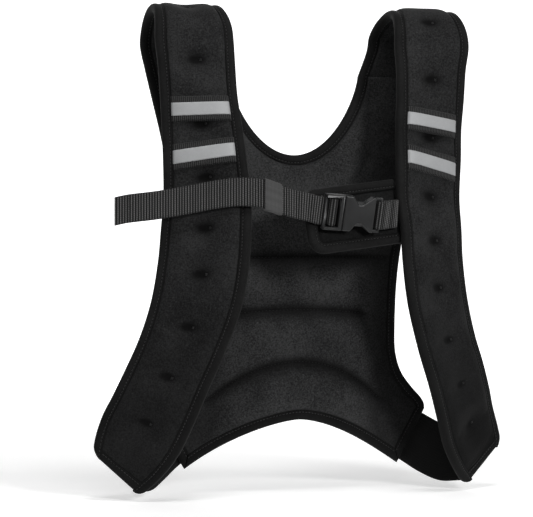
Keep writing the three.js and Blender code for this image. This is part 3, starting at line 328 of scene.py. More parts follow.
class Finish:
    """A material being put together."""

    def __init__(self, name):
        self.material = bpy.data.materials.new(name)
        self.material.use_nodes = True
        self.tree = self.material.node_tree
        self.shader = self.tree.nodes["Principled BSDF"]

    def node(self, kind, settings=None, inputs=None, output=0):
        """Adds a node: settings first, then the values or links of its sockets."""
        node = self.tree.nodes.new(kind)
        for key, value in (settings or {}).items():
            setattr(node, key, value)
        for key, value in (inputs or {}).items():
            self.feed(node.inputs[key], value)
        return Value(self, node.outputs[output])

    def feed(self, socket, value):
        """Links a value to a socket, or sets the socket to a constant."""
        if isinstance(value, Value):
            self.tree.links.new(value.socket, socket)
        else:
            socket.default_value = value

    def set(self, **inputs):
        """Fills the shader's own sockets, with _ for a blank in a name. Returns the material."""
        for key, value in inputs.items():
            self.feed(self.shader.inputs[key.replace("_", " ")], value)
        return self.material

    def place(self):
        """Position in the piece's own frame, in metres."""
        return self.node("ShaderNodeTexCoord", output="Object")

    def run(self):
        """The three numbers of the piece's own attribute: along, across and a mask."""
        vector = self.node("ShaderNodeAttribute", {"attribute_name": "run"}, output="Vector")
        split = self.node("ShaderNodeSeparateXYZ", inputs={0: vector})
        return split["X"], split["Y"], split["Z"]

    def noise(self, millimetres, detail=3.0, rough=0.6):
        """Noise from 0 to 1 with features of about the given size."""
        return self.node("ShaderNodeTexNoise", inputs={
            "Vector": self.place(), "Scale": 1000 / millimetres, "Detail": detail,
            "Roughness": rough})

    def wave(self, coordinate, pitch):
        """Ribs along a coordinate in millimetres: half of 1 + sin(2 pi x / pitch)."""
        return (coordinate * (2 * pi / pitch)).math("SINE") * 0.5 + 0.5

    def sharper(self, value, gain, middle=0.5):
        """Contrast about a middle, held between 0 and 1."""
        value = (value - middle) * gain + 0.5
        value.socket.node.use_clamp = True
        return value

    def mix(self, factor, dark, light):
        """Colour between two others."""
        node = self.tree.nodes.new("ShaderNodeMix")
        node.data_type = "RGBA"
        self.feed(node.inputs[0], factor)
        self.feed(node.inputs[6], (*dark, 1) if isinstance(dark, tuple) else dark)
        self.feed(node.inputs[7], (*light, 1) if isinstance(light, tuple) else light)
        return Value(self, node.outputs[2])

    def coat(self, tone, rough, height, strength, distance, **others):
        """Sets colour, roughness and a normal bumped by a height, whose distance is in metres."""
        normal = self.node("ShaderNodeBump", inputs={
            "Height": height, "Strength": strength, "Distance": distance})
        return self.set(Base_Color=tone, Roughness=rough, Normal=normal, **others)


def grey(level, tint=0.0):
    """A near-neutral colour in linear light."""
    return (level, level * (1 + tint / 2), level * (1 + tint))


def neoprene(name, level):
    """Black neoprene with a fine jersey face: small grain, soft cloudy wear and a little sheen."""
    f = Finish(name)
    grain, fuzz, cloud = f.noise(1.5, 3, 0.7), f.noise(0.35, 2), f.noise(38, 4, 0.55)
    lint = f.sharper(f.noise(2.6, 1), 14, 0.73)
    wear = f.sharper(cloud * 0.3 + grain * 0.7, 4.5)
    tone = f.mix(wear, grey(level * 0.4, 0.04), grey(level * 1.7, 0.02))
    tone = f.mix(lint * 0.2, tone, grey(level * 6))
    # Painted shade: the piece's mask darkens the cloth along its seams, in dents and creases, and
    # where less light falls.
    tone = f.mix(f.run()[2] * 0.92, tone, grey(level * 0.08))
    weave = f.node("ShaderNodeTexVoronoi", inputs={"Vector": f.place(), "Scale": 1000 / 1.3})
    height = grain * 0.5 + fuzz * 0.3 + weave * 0.4
    return f.coat(tone, 0.74 + grain * 0.16, height, 0.55, 0.00035, Sheen_Weight=0.02,
                  Sheen_Roughness=0.45, Specular_IOR_Level=0.08)


def edge_tape():
    """Folded woven tape: fine cords across its width and a fuzzy, slightly worn face."""
    f = Finish("edge_tape_weave")
    along, across, painted_shade = f.run()
    cords = f.wave(along, 1.15) * 0.65 + f.wave(across, 0.9) * 0.35
    fuzz, cloud = f.noise(1.8, 4, 0.75), f.noise(24, 3)
    wear = f.sharper(cloud * 0.4 + fuzz * 0.6, 2.4)
    tone = f.mix(cords * 0.2 + wear * 0.8, grey(0.002), grey(0.0145))
    # Painted shade from the tape's mask.
    tone = f.mix(painted_shade * 0.9, tone, grey(0.001))
    return f.coat(tone, 0.72 + fuzz * 0.14, cords * 0.8 + fuzz * 0.3, 0.5, 0.0003,
                  Sheen_Weight=0.03, Sheen_Roughness=0.4, Specular_IOR_Level=0.10)


def ribbed_tape():
    """Grosgrain tape: ribs across its length, with painted highlight on them and painted shade
    between.
    """
    f = Finish("ribbed_tape_grosgrain")
    along, across, _ = f.run()
    ribs = f.wave(along, RIBBED_PITCH) ** 1.3
    lines = f.wave(across, 1.8)
    fuzz = f.noise(0.5)
    # Painted highlight on the ribs and painted shade in the lines between them.
    tone = f.mix(ribs * 0.85 + fuzz * 0.15, grey(0.001), grey(0.045))
    return f.coat(tone, 0.66, ribs + lines * 0.25 + fuzz * 0.2, 0.6, 0.0004, Sheen_Weight=0.04,
                  Specular_IOR_Level=0.2)


def film():
    """Silver glass-bead film: pale grey, finely beaded, with faint creases and dirty specks."""
    f = Finish("reflective_film_silver")
    beads = f.node("ShaderNodeTexVoronoi", inputs={"Vector": f.place(), "Scale": 1000 / 0.8})
    cloud, speck = f.noise(14, 4), f.noise(1.6, 2)
    tone = f.mix(cloud * 0.6 + speck * 0.4, (0.26, 0.265, 0.27), (0.39, 0.395, 0.40))
    return f.coat(tone, 0.52 + speck * 0.14, beads * 0.4 + cloud * 0.8, 0.25, 0.0003,
                  Metallic=0.08)


def webbing():
    """Heavy webbing: slanted yarns over ribs painted finer than the mesh's own, with painted shade
    in the grooves and painted highlight on the ribs, and darker along the selvedge."""
    f = Finish("webbing_ribbed")
    along, across, edge = f.run()
    ribs, yarns = f.wave(along, 2.5) ** 1.9, f.wave(across + along * 0.4, 1.7)
    fuzz = f.noise(0.45)
    # Painted highlight on the ribs and painted shade in the grooves between them.
    tone = f.mix(ribs * (yarns * 0.6 + 0.4) + fuzz * 0.08, grey(0.0004), grey(0.13))
    tone = f.mix(edge * 0.5, tone, grey(0.012))
    return f.coat(tone, 0.6 + fuzz * 0.2, ribs * 0.5 + yarns * 0.5 + fuzz * 0.25, 0.6, 0.0004,
                  Sheen_Weight=0.02, Specular_IOR_Level=0.1)


def elastic(name, level, pitch):
    """Knitted elastic: fine ribs along its length and small cross stitches."""
    f = Finish(name)
    along, across, _ = f.run()
    ribs, knit = f.wave(across, pitch), f.wave(along, 0.9)
    fuzz, cloud = f.noise(0.6), f.noise(20, 3)
    tone = f.mix(ribs * 0.4 + knit * 0.2 + cloud * 0.4, grey(level * 0.55), grey(level * 1.35))
    return f.coat(tone, 0.74 + fuzz * 0.12, ribs * 0.7 + knit * 0.2 + fuzz * 0.3, 0.5, 0.0003,
                  Sheen_Weight=0.04, Specular_IOR_Level=0.16)


def thread(name, level):
    """Polyester sewing thread: twisted plies that shade from stitch to stitch."""
    f = Finish(name)
    ply, cloud = f.noise(0.35, 2), f.noise(9, 2)
    tone = f.mix(ply * 0.5 + cloud * 0.5, grey(level * 0.6), grey(level * 1.3))
    return f.coat(tone, 0.55 + ply * 0.2, ply, 0.5, 0.0002, Sheen_Weight=0.1,
                  Specular_IOR_Level=0.3)


def moulded():
    """Satin moulded plastic: fine spark-eroded texture, faint flow marks and rubbed spots."""
    f = Finish("buckle_plastic")
    spark, flow = f.noise(0.28, 2), f.noise(11, 4)
    tone = f.mix(flow * 0.7 + spark * 0.3, grey(0.007, 0.06), grey(0.015, 0.06))
    return f.coat(tone, 0.36 + flow * 0.14, spark, 0.22, 0.00012, Specular_IOR_Level=0.5)


FINISHES = {
    "neoprene": neoprene("neoprene_jersey", 0.0160),
    # The panel's copy is lighter: painted light, as the panel's middle gets more light than the
    # straps.
    "panel": neoprene("neoprene_panel_lit", 0.0225),
    "edge_tape": edge_tape(),
    "ribbed_tape": ribbed_tape(),
    "reflective_film": film(),
    "webbing": webbing(),
    "elastic": elastic("keeper_elastic", 0.066, 1.3),
    "band": elastic("side_band_elastic", 0.0055, 2.1),
    "plastic": moulded(),
    "thread": thread("thread_grey", 0.017),
    # The tack thread is a darker copy of the grey thread: painted shade of the dents it lies in.
    "tack_thread": thread("thread_tack", 0.008),
    "black_thread": thread("thread_black", 0.003),
}


def keep(piece, finish, nodes=()):
    """Gives a piece its finish, lets it ride on the vest and hides the CAD nodes it stands for."""
    piece.data.materials.clear()
    piece.data.materials.append(FINISHES[finish])
    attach(piece, "root")
    if nodes:
        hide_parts(*nodes)
    return piece


# ---- Shoulder straps ----

class Strap:
    """A shoulder strap, given by the length s along its middle and the share c across it."""

    def __init__(self, side):
        self.side, self.sign = side, SIDES[side]
        turn = np.linspace(0, pi, ARCH_STEPS + 1)
        behind = turn > pi / 2
        arch = np.stack([-ARCH * np.cos(turn), THICK / 2 - ARCH + ARCH * np.sin(turn)], 1)

        def edge(columns, front, top, back, last):
            low = STRAP_LEVELS[:, columns] * [SPAN, -REACH, -DROP]
            x = np.where(behind, back, front)
            x = SPAN * (x + (top - x) * np.sin(turn) ** 2)
            return np.vstack([low, np.column_stack([x, arch]), [[last, ARCH, -SEAM]]])

        self.outer = edge([0, 1, 2], 0.758, 0.739, 0.746, SIDE_X)
        self.inner = edge([3, 4, 5], 0.389, 0.414, 0.367, NECK_X)
        self.t = np.linspace(0, 1, 1601)
        middle = (spline(self.outer, self.t) + spline(self.inner, self.t)) / 2
        self.runs = lengths(middle)
        self.length = self.runs[-1]
        start = len(STRAP_LEVELS) / (len(self.outer) - 1)
        front = self.t <= start
        drops, degrees = TACKS[side]
        self.front = middle[front, 2], self.runs[front]
        steps = np.array(degrees) / 180 * ARCH_STEPS
        over = np.interp(start + steps / (len(self.outer) - 1), self.t, self.runs)
        self.tacks = np.concatenate([self.at_drop(drops), over])
        self.tapes = {name: (float(self.at_drop(share)), rise * FILM)
                      for name, (share, rise) in TAPES[side].items()}

    def at_drop(self, share):
        """Length along the strap at a share of DROP down its front."""
        return np.interp(-DROP * np.asarray(share), *self.front)

    def rise(self, s):
        """How far the inner end of a row stands above its outer end: set at the two tapes."""
        (low, low_rise), (high, high_rise) = self.tapes["lower"], self.tapes["upper"]
        reach = RIBBED / 2
        share = np.clip((s - low - reach) / (high - low - 2 * reach), 0, 1)
        below = smooth(1 - (low - reach - s) / (2 * RIBBED))
        above = smooth(1 - (s - high - reach) / (2 * RIBBED))
        return (low_rise + (high_rise - low_rise) * share) * below * above

    def middle(self, s, c):
        """Point of the middle layer: on the straight line between the two edge curves."""
        s, c = np.broadcast_arrays(np.asarray(s, float), np.asarray(c, float))
        half = self.rise(s) / 2
        inner = spline(self.inner, np.interp(np.minimum(s + half, self.length), self.runs, self.t))
        outer = spline(self.outer, np.interp(np.maximum(s - half, 0), self.runs, self.t))
        return (inner + (outer - inner) * c[..., None]) * [self.sign, 1, 1]

    def width(self, s):
        """Distance between the two edge curves."""
        return np.linalg.norm(self.middle(s, 0) - self.middle(s, 1), axis=-1)

    def normal(self, s, c):
        """Direction out of the worn side: across the rows and along the strap."""
        s, c = np.broadcast_arrays(np.asarray(s, float), np.asarray(c, float))
        ahead = self.middle(np.minimum(s + 2, self.length), c)
        along = ahead - self.middle(np.maximum(s - 2, 0), c)
        return unit(-self.sign * np.cross(along, self.middle(s, 1) - self.middle(s, 0)))

    def half(self, s, place):
        """Half thickness: EDGE/2 at the tape, rising as the root of 1 - place^4 to full
        thickness, and falling to a sewn dent at each tack as exp(-(distance/radius)^1.45)."""
        ends = np.minimum(s - TAPE, self.length - s)
        fill = smooth(ends / (2 * THICK) + 0.08)
        full = EDGE / 2 + (THICK * 0.47 - EDGE / 2) * np.sqrt(1 - place**4) * fill
        reach = self.width(s) / 2 - TAPE
        half = full
        for tack in self.tacks:
            away = np.hypot((s - tack) / DENT_LONG, place * reach / DENT_WIDE)
            half = np.minimum(half, full + (DENT_HALF - full) * np.exp(-away**1.45))
        return full + (half - full) * (1 - self.taped(s))

    def taped(self, s):
        """1 under the reflective tapes and 0 clear of them."""
        cover = [smooth((RIBBED / 2 + 1.5 - np.abs(s - at)) / 3) for at, _ in self.tapes.values()]
        return np.maximum(*cover)

    def sheets(self, s, place):
        """Worn and inner sheet at lengths s and places from -1 to 1 between the tapes."""
        s = s[:, None]
        inset = (TAPE + GAP) / self.width(s)
        c = inset + (1 - 2 * inset) * (place + 1) / 2
        core, out = self.middle(s, c), self.normal(s, c)
        half = self.half(s, place)[..., None]
        return core + out * half, core - out * half

    def shade(self, fine):
        """Painted shade of the padding: dark along the edge tape, in the dents and towards the
        lower end.
        """
        rows = self.rows[:, None]
        painted_shade = 0.8 * smooth((np.abs(fine) - 0.955) / 0.04) + 0 * rows
        reach = self.width(self.rows)[:, None] / 2 - TAPE
        for tack in self.tacks:
            slot = np.hypot((rows - tack) * 1.1, fine * reach * 0.5) / 3.8
            halo = np.hypot(rows - tack, fine * reach * 0.8) / 9
            painted_shade = np.maximum(painted_shade, np.exp(-slot**2) + 0.56 * np.exp(-halo**2))
        # Painted shade towards the lower end, deeper on the right strap, where less light falls.
        low = {"left": 0.6, "right": 0.9}[self.side] * smooth(1 - rows / 290)
        return np.clip(painted_shade, low, 1)

    def build(self):
        """Padding. The cloth runs on the coarse grid, and its shifts are added to the fine one."""
        rows = np.linspace(TAPE + GAP, self.length, STRAP_COARSE[0])
        columns = np.linspace(-1, 1, STRAP_COARSE[1])
        over, under = self.sheets(rows, columns)
        hold = np.maximum(smooth((np.abs(columns) - 0.84) / 0.12), self.taped(rows)[:, None])
        ends = np.minimum(rows - rows[0], rows[-1] - rows)
        hold = np.maximum(hold, smooth(1 - ends / 8)[:, None])
        reach = self.width(rows)[:, None] / 2 - TAPE
        for tack in self.tacks:
            away = np.hypot(rows[:, None] - tack, columns * reach)
            hold = np.maximum(hold, smooth(1.5 - away / 6))
        full = swell(over, under, hold, 2.6)
        self.rows = np.linspace(TAPE + GAP, self.length, STRAP_FINE[0])
        fine = np.linspace(-1, 1, STRAP_FINE[1])
        shares = (self.rows - self.rows[0]) / (self.rows[-1] - self.rows[0])
        base = self.sheets(self.rows, fine)
        across = (fine + 1) / 2
        self.worn, self.back = (
            exact + pick(puffed, shares, across) - pick(plain, shares, across)
            for exact, puffed, plain in zip(base, full, (over, under)))
        run = field(self.rows[:, None], fine * 32, self.shade(fine))
        body = keep(shell(f"padding_strap_{self.side}", self.worn, self.back, run), "neoprene",
                    [f"shoulder_strap_{self.side}"])

    def on_face(self, s, place, above, worn=True):
        """Points of the finished worn face, raised along the strap's normal."""
        share = (s - self.rows[0]) / (self.rows[-1] - self.rows[0])
        points = pick(self.worn if worn else self.back, share, (place + 1) / 2)
        out = self.normal(s[:, None], (place + 1) / 2)
        return points + out * (above if worn else -above), out

    def build_tapes(self):
        """Ribbed tapes with silver film. Each is a flat closed band laid on the padding."""
        place = np.linspace(-1, 1, 150)
        reach = (self.width(self.tapes["upper"][0]) - 2 * TAPE) / 2
        for name, (at, _) in self.tapes.items():
            for width, low, high, kind, node, slot in (
                    (RIBBED, 0.1, 1.3, "ribbed", "ribbed_tape", "ribbed_tape"),
                    (FILM, 1.35, 1.95, "film", "reflective_strip", "reflective_film")):
                s = np.linspace(at - width / 2, at + width / 2, 25)
                edge = np.minimum(1, (width / 2 - np.abs(s - at)) / 0.7)[:, None]
                over, out = self.on_face(s, place, high)
                turn = place * reach * 2 * pi / RIBBED_PITCH
                ribs = 0.2 * np.sin(turn) if kind == "ribbed" else 0
                over = over - out * ((1 - np.sqrt(edge)) * (high - low) * 0.8 - ribs)[..., None]
                under, _ = self.on_face(s, place, low)
                run = field(place * reach, (s - at)[:, None], 0)
                keep(shell(f"{kind}_{self.side}_{name}", over, under, run), slot,
                     [f"{node}_{self.side}_{name}"])
                if kind == "ribbed":
                    for sign in (-1, 1):
                        s_line = np.array([at + sign * (width / 2 - 1.1)])
                        line, up = self.on_face(s_line, np.linspace(-0.97, 0.97, 60), 1.42)
                        sew(f"thread_{kind}_{self.side}_{name}_{'low' if sign < 0 else 'high'}",
                            line[0], up[0], "black_thread", 2.6, 1.8, 0.5)

    def edge_rings(self, outer):
        """Rim, foot and normal of the tape along one edge, at every length."""
        s = np.concatenate([TAPE * np.linspace(0, 1, 12)[:-1] ** 2, self.rows])
        width = self.width(s)
        power = 2.0 if outer else 3.2
        cut = TAPE * (1 - (1 - (1 - np.minimum(s / TAPE, 1))**power) ** (1 / power)) / width
        c = (1 - TAPE / width) if outer else TAPE / width
        return self.middle(s, 1 - cut if outer else cut), self.middle(s, c), self.normal(s, c)


# ---- Edge tape and seams ----

# Section of the folded tape: share of the way from foot to rim, and height in half thicknesses.
SECTION = np.array([
    [-0.10, 0.84], [-0.085, 0.93], [0.02, 0.98], [0.12, 0.94], [0.19, 0.85], [0.26, 0.94],
    [0.36, 1.00], [0.52, 1.03], [0.68, 1.00], [0.82, 0.88], [0.93, 0.62], [0.99, 0.24]])
SECTION = np.vstack([SECTION, SECTION[::-1] * [1, -1]])


def sew(name, path, normals, finish, pitch=STITCH, length=2.3, width=0.62):
    """A row of stitches along a path, each lying on the face that its normal points out of."""
    run = lengths(path)
    at = np.arange(pitch / 2, run[-1], pitch)
    along = sample(path, run, at + 0.6) - sample(path, run, at - 0.6)
    place, up = sample(path, run, at), sample(normals, run, at)
    return keep(threads(name, place, along, up, length, width), finish)


def tape(name, rim, foot, normal, node):
    """Edge tape: the folded section carried along rim and foot. Its faces are drawn in a little at
    each stitch and wander softly, and a row of stitches runs inside each foot."""
    along = lengths(foot)
    pull = 0.035 * (0.5 + 0.5 * np.cos(along * 2 * pi / STITCH))
    drift = 0.25 * ripple(foot, 22, 5)[:, None, None]
    share, height = SECTION[:, 0], SECTION[:, 1]
    near = smooth((0.5 - share) / 0.4)
    high = height * (1 - pull[:, None] * near) * TAPE_HALF
    rings = (foot[:, None] + (rim - foot)[:, None] * share[None, :, None]
             + normal[:, None] * high[..., None]
             + unit(rim - foot)[:, None] * drift * near[:, None])
    # Painted shade in the stitched groove and along the foot, and more of it towards the bottom of
    # the vest.
    stitched = 0.75 * np.exp(-((share - GROOVE) / 0.055)**2)
    painted_shade = np.clip(stitched + smooth((0.05 - share) / 0.07), 0, 1)
    low = 0.55 * smooth((-foot[:, 2] - 230) / 170)
    run = field(along[:, None], share * TAPE, np.maximum(painted_shade, low[:, None]))
    keep(tube(name, rings, run), "edge_tape", [node])
    for face in (1, -1):
        line = foot + (rim - foot) * GROOVE + normal * face * TAPE_HALF * 0.86
        sew(f"thread_{name}_{'out' if face > 0 else 'in'}", line, normal * face, "thread")


# ---- Back panel ----

def panel_depth(x, z):
    """How far back the middle layer lies: upright at the shoulders, hollow at the small of the back
    and drawn round at the sides."""
    lumbar = smooth((-z - 170) / (PANEL_DROP - HEM_RISE - 170))
    round_share = np.sin(pi / 2 * np.minimum(1, np.abs(x) / HEM_X)) ** 2
    return ARCH + lumbar * (-17 + 23 * round_share)


def panel_point(grid):
    """Points of the middle layer over places x, z."""
    return np.stack([grid[..., 0], panel_depth(grid[..., 0], grid[..., 1]), grid[..., 1]], -1)


def panel_normal(grid):
    """Direction out of the panel's back face."""
    x, z = grid[..., 0], grid[..., 1]
    slope_x = (panel_depth(x + 1, z) - panel_depth(x - 1, z)) / 2
    slope_z = (panel_depth(x, z + 1) - panel_depth(x, z - 1)) / 2
    return unit(np.stack([-slope_x, np.ones_like(x), -slope_z], -1))


side_curve = spline(PANEL_SIDE * [-PANEL_DROP, SIDE_X], np.linspace(0, 1, 3001), 0)
side_slope = np.gradient(side_curve, axis=0)
side_steep = np.maximum(0.55, np.abs(unit(side_slope)[:, 0]))


def side_outline(z, inset):
    """Half width of the panel at a height, moved inwards by an inset."""
    height = side_curve[::-1, 0]
    return (np.interp(z, height, side_curve[::-1, 1])
            - inset / np.interp(z, height, side_steep[::-1]))


def neck_outline(turn, inset):
    """Place on the neck curve, from its end at the seam (0) to its middle (pi/2), moved inwards."""
    steep = np.maximum(0.1, np.sin(turn)) ** (NECK_POWER - 1) * np.cos(turn)
    slope = unit(np.stack([-NECK_X * np.sin(turn), -NECK_DEPTH * NECK_POWER * steep], -1))
    x = NECK_X * np.cos(turn) - slope[..., 1] * inset
    z = -SEAM - NECK_DEPTH * np.sin(turn) ** NECK_POWER + slope[..., 0] * inset
    return x, np.minimum(z, -SEAM)


def hem_outline(x, inset):
    """Height of the arched hem, moved inwards."""
    share = np.abs(x) / HEM_X
    slope = HEM_RISE * HEM_POWER * share ** (HEM_POWER - 1) / HEM_X
    return -(PANEL_DROP - HEM_RISE) - HEM_RISE * share**HEM_POWER + inset * np.hypot(1, slope)


def crease_height(crease, x):
    """Height of a crease, which sags from its middle to its ends."""
    down, sag, half = crease
    return -PANEL_DROP * (down + sag * np.minimum(1, np.abs(x) / (HEM_X * half)) ** 2)


def crease_depth(x, z):
    """0 far from the sewn creases and 1 on them. A channel is a round pillow: its depth falls as
    (1 - distance / CHANNEL)^1.8. A soft yoke crease falls as exp(-distance^2)."""
    depth = np.zeros_like(x)
    for crease in CREASES:
        past = np.maximum(0, np.abs(x) - HEM_X * crease[2])
        away = np.minimum(1, np.hypot(z - crease_height(crease, x), 1.6 * past) / CHANNEL)
        depth = np.maximum(depth, (1 - away)**1.8)
    start = np.array([0.92 * HEM_X, -0.215 * PANEL_DROP])
    end = np.array([0.55 * HEM_X, -0.36 * PANEL_DROP])
    here = np.stack([np.abs(x), z], -1)
    share = np.clip((here - start) @ (end - start) / np.sum((end - start) ** 2), 0, 1)
    away = np.linalg.norm(here - start - share[..., None] * (end - start), axis=-1) / 8
    return np.maximum(depth, 0.62 * np.exp(-away**2))


def panel_grid(inset, fine_rows, fine_columns):
    """Places on the panel. The guide rows are its top, the three creases and its hem, and the rows
    between change from one to the next. Half of the columns' shares is the neck, half the seam."""
    neck, seam = NECK_COLUMNS * fine_columns, SEAM_COLUMNS * fine_columns
    half = np.concatenate([0.5 * np.arange(neck + 1) / neck,
                           0.5 + 0.5 * np.arange(1, seam + 1) / seam])
    shares = np.concatenate([-half[:0:-1], half])
    size = np.abs(shares)
    neck_x, neck_z = neck_outline(pi / 2 * (1 - np.minimum(1, size / 0.5)), inset)
    inner, outer = neck_outline(np.array(0.0), inset)[0], side_outline(-SEAM, inset)
    at_seam = size >= 0.5
    seam_x = inner + (outer - inner) * (size - 0.5) / 0.5
    top_x = np.where(at_seam, seam_x, neck_x) * np.sign(shares)
    top_z = np.where(at_seam, -SEAM + GAP, neck_z)
    low = np.linspace(-PANEL_DROP, crease_height(CREASES[2], SPAN), 4001)
    corner_z = low[np.argmax(low >= hem_outline(side_outline(low, inset), inset))]
    corner_x = side_outline(corner_z, inset)
    guides = [top_z]
    for crease in CREASES:
        half_width = side_outline(crease_height(crease, SPAN), inset)
        guides.append(crease_height(crease, shares * half_width))
    guides.append(hem_outline(shares * corner_x, inset))
    spread = top_x / top_x[-1]
    rows = []
    for band, steps in enumerate(BANDS):
        down = np.arange(0 if band == 0 else 1, steps * fine_rows + 1) / (steps * fine_rows)
        height = guides[band] + (guides[band + 1] - guides[band]) * down[:, None]
        width = side_outline(height[:, -1], inset)[:, None]
        mixed = spread + (shares - spread) * (down[:, None] if band == 0 else 1.0)
        rows.append(np.stack([width * mixed, height], -1))
    return np.concatenate(rows)


def panel_sheets(fine_rows, fine_columns):
    """Worn and inner sheet of the panel, and how firmly each place is held."""
    grid = panel_grid(TAPE + GAP, fine_rows, fine_columns)
    rows, columns = grid.shape[:2]
    r, c = np.arange(rows) / fine_rows, np.arange(columns) / fine_columns
    from_rim = np.minimum(np.minimum(r, r[::-1])[:, None], np.minimum(c, c[::-1])) / 2.2
    x, z = grid[..., 0], grid[..., 1]
    full = 5 + 5.5 * smooth(1 - (np.abs(x) - 62) / 26)
    padded = 3.5 + (full * 0.97 - 3.5) * np.sqrt(1 - (1 - np.clip(from_rim, 0, 1)) ** 2)
    crease = crease_depth(x, z)
    half = padded + (np.minimum(padded, 1.6) - padded) * crease
    core, out = panel_point(grid), panel_normal(grid)
    hold = np.maximum(smooth(1 - from_rim * 2.2), smooth((crease - 0.72) / 0.25))
    return grid, core + out * half[..., None], core - out * half[..., None], hold


def build_panel():
    """Padded back panel with painted shade in its seams, creases and sides, and stitches in the
    creases.
    """
    _, over, under, hold = panel_sheets(*PANEL_COARSE)
    full = swell(over, under, hold, 3.0)
    grid, fine_over, fine_under, _ = panel_sheets(*PANEL_FINE)
    rows, columns = (np.linspace(0, 1, n) for n in grid.shape[:2])
    worn, inner = (exact + pick(puffed, rows, columns) - pick(plain, rows, columns)
                   for exact, puffed, plain in zip((fine_over, fine_under), full, (over, under)))
    # Painted shade: along the rims by the tape, at the sides beside the straps, and along each
    # crease, wider below it than above.
    painted_shade = np.zeros(grid.shape[:2])
    painted_shade[[0, -1]] = painted_shade[:, [0, -1]] = 0.8
    painted_shade[0, np.abs(grid[0, :, 0]) > NECK_X + TAPE] = 0
    sides = smooth((np.abs(grid[..., 0]) - 56) / 36) * smooth((-grid[..., 1] - 70) / 70)
    painted_shade = np.maximum(painted_shade, 0.62 * sides)
    for crease in CREASES:
        past = np.maximum(0, np.abs(grid[..., 0]) - HEM_X * crease[2])
        above = grid[..., 1] - crease_height(crease, grid[..., 0])
        away = np.hypot(above, past)
        soft = 0.85 * np.exp(-(away / np.where(above > 0, 5, 9.5))**2)
        painted_shade = np.maximum(painted_shade, np.maximum(np.exp(-(away / 3.0)**2), soft))
    run = np.concatenate([grid, painted_shade[..., None]], -1)
    body = keep(shell("padding_back_panel", worn, inner, run), "panel", ["back_panel"])
    out = panel_normal(grid)
    for number, crease in enumerate(CREASES):
        row = sum(BANDS[:number + 1]) * PANEL_FINE[0]
        inside = np.abs(grid[row, :, 0]) < HEM_X * crease[2]
        for sheet, sign, face in ((worn, 1, "back"), (inner, -1, "front")):
            line = sheet[row, inside] - out[row, inside] * sign * 0.15
            sew(f"thread_crease_{number + 1}_{face}", line, out[row, inside] * sign,
                "black_thread", 3.4, 2.6, 0.6)


def build_edges(straps):
    """Tapes round the neck, the armholes, the hem and the strap ends."""
    rim_grid, foot_grid = (panel_grid(inset, *PANEL_FINE) for inset in (0.0, TAPE))
    columns = rim_grid.shape[1]
    seam = SEAM_COLUMNS * PANEL_FINE[1]

    def rings(*index):
        """Rim, foot and normal at chosen rows and columns."""
        foot = foot_grid[index]
        return panel_point(rim_grid[index]), panel_point(foot), panel_normal(foot)

    left, right = (straps[side].edge_rings(False) for side in ("left", "right"))
    neck = rings(0, slice(seam + 1, columns - seam - 1))
    tape("tape_neck", *(np.concatenate([a, b, c[::-1]]) for a, b, c in zip(left, neck, right)),
         "neck_binding")
    for side, column in (("left", 0), ("right", columns - 1)):
        strap_rings = straps[side].edge_rings(True)
        panel_rings = rings(slice(2, -1), column)
        joined = (np.concatenate(pair) for pair in zip(strap_rings, panel_rings))
        tape(f"tape_armhole_{side}", *joined, f"armhole_binding_{side}")
    tape("tape_hem", *rings(-1, slice(0, columns)), "hem_binding")
    for side, strap in straps.items():
        width = strap.width(TAPE)
        c = np.linspace((TAPE + GAP) / width, 1 - (TAPE + GAP) / width, 30)
        tape(f"tape_strap_end_{side}", strap.middle(0.0, c), strap.middle(TAPE, c),
             strap.normal(TAPE, c), f"strap_end_binding_{side}")


def build_tacks(straps):
    """Bar tacks: three short threads side by side across the strap, at the bottom of each dent and
    a little outside its middle."""
    for side, strap in straps.items():
        places = np.array([-0.04, 0, 0.04]) + 0.14 * strap.sign
        for worn, face in ((True, "front"), (False, "back")):
            at, along, out = [], [], []
            for s in strap.tacks:
                if strap.taped(np.array([s]))[0] > 0.2:
                    continue
                points, up = strap.on_face(s + np.array([-0.8, 0, 0.8]), places, 0.1, worn)
                at.append(points[:, 1])
                along.append(points[:, 2] - points[:, 0])
                out.append(up[:, 1] * (1 if worn else -1))
            keep(threads(f"thread_tacks_{side}_{face}", np.concatenate(at), np.concatenate(along),
                         np.concatenate(out), 2.6, 0.6), "tack_thread")


# ---- Side bands ----

def build_band(side):
    """Elastic side band: a flat section with round edges, carried between two edge curves, with low
    ribs along it."""
    t = np.linspace(0, 1, 90)
    flip = [SIDES[side], 1, 1]
    top = spline(BAND[:, :3] * [SPAN, ARCH, -DROP], t) * flip
    low = spline(BAND[:, 3:] * [SPAN, ARCH, -DROP], t) * flip
    across = low - top
    normal = unit(np.cross(np.gradient(top, axis=0), across))
    u = np.linspace(0, 1, 40)
    half = 1.25 * np.minimum(1, np.minimum(u, 1 - u) / 0.02) ** 0.5
    ribs = half * (1 + 0.06 * np.sin(u * 2 * pi * 16))
    share = np.concatenate([u, u[::-1]])
    height = np.concatenate([ribs, -ribs[::-1]])
    rings = (top[:, None] + across[:, None] * share[None, :, None]
             + normal[:, None] * height[None, :, None])
    run = field(lengths(top)[:, None], share * 45, 0)
    keep(tube(f"band_{side}", rings, run), "band", [f"side_band_{side}"])


# ---- Chest strap and buckle ----

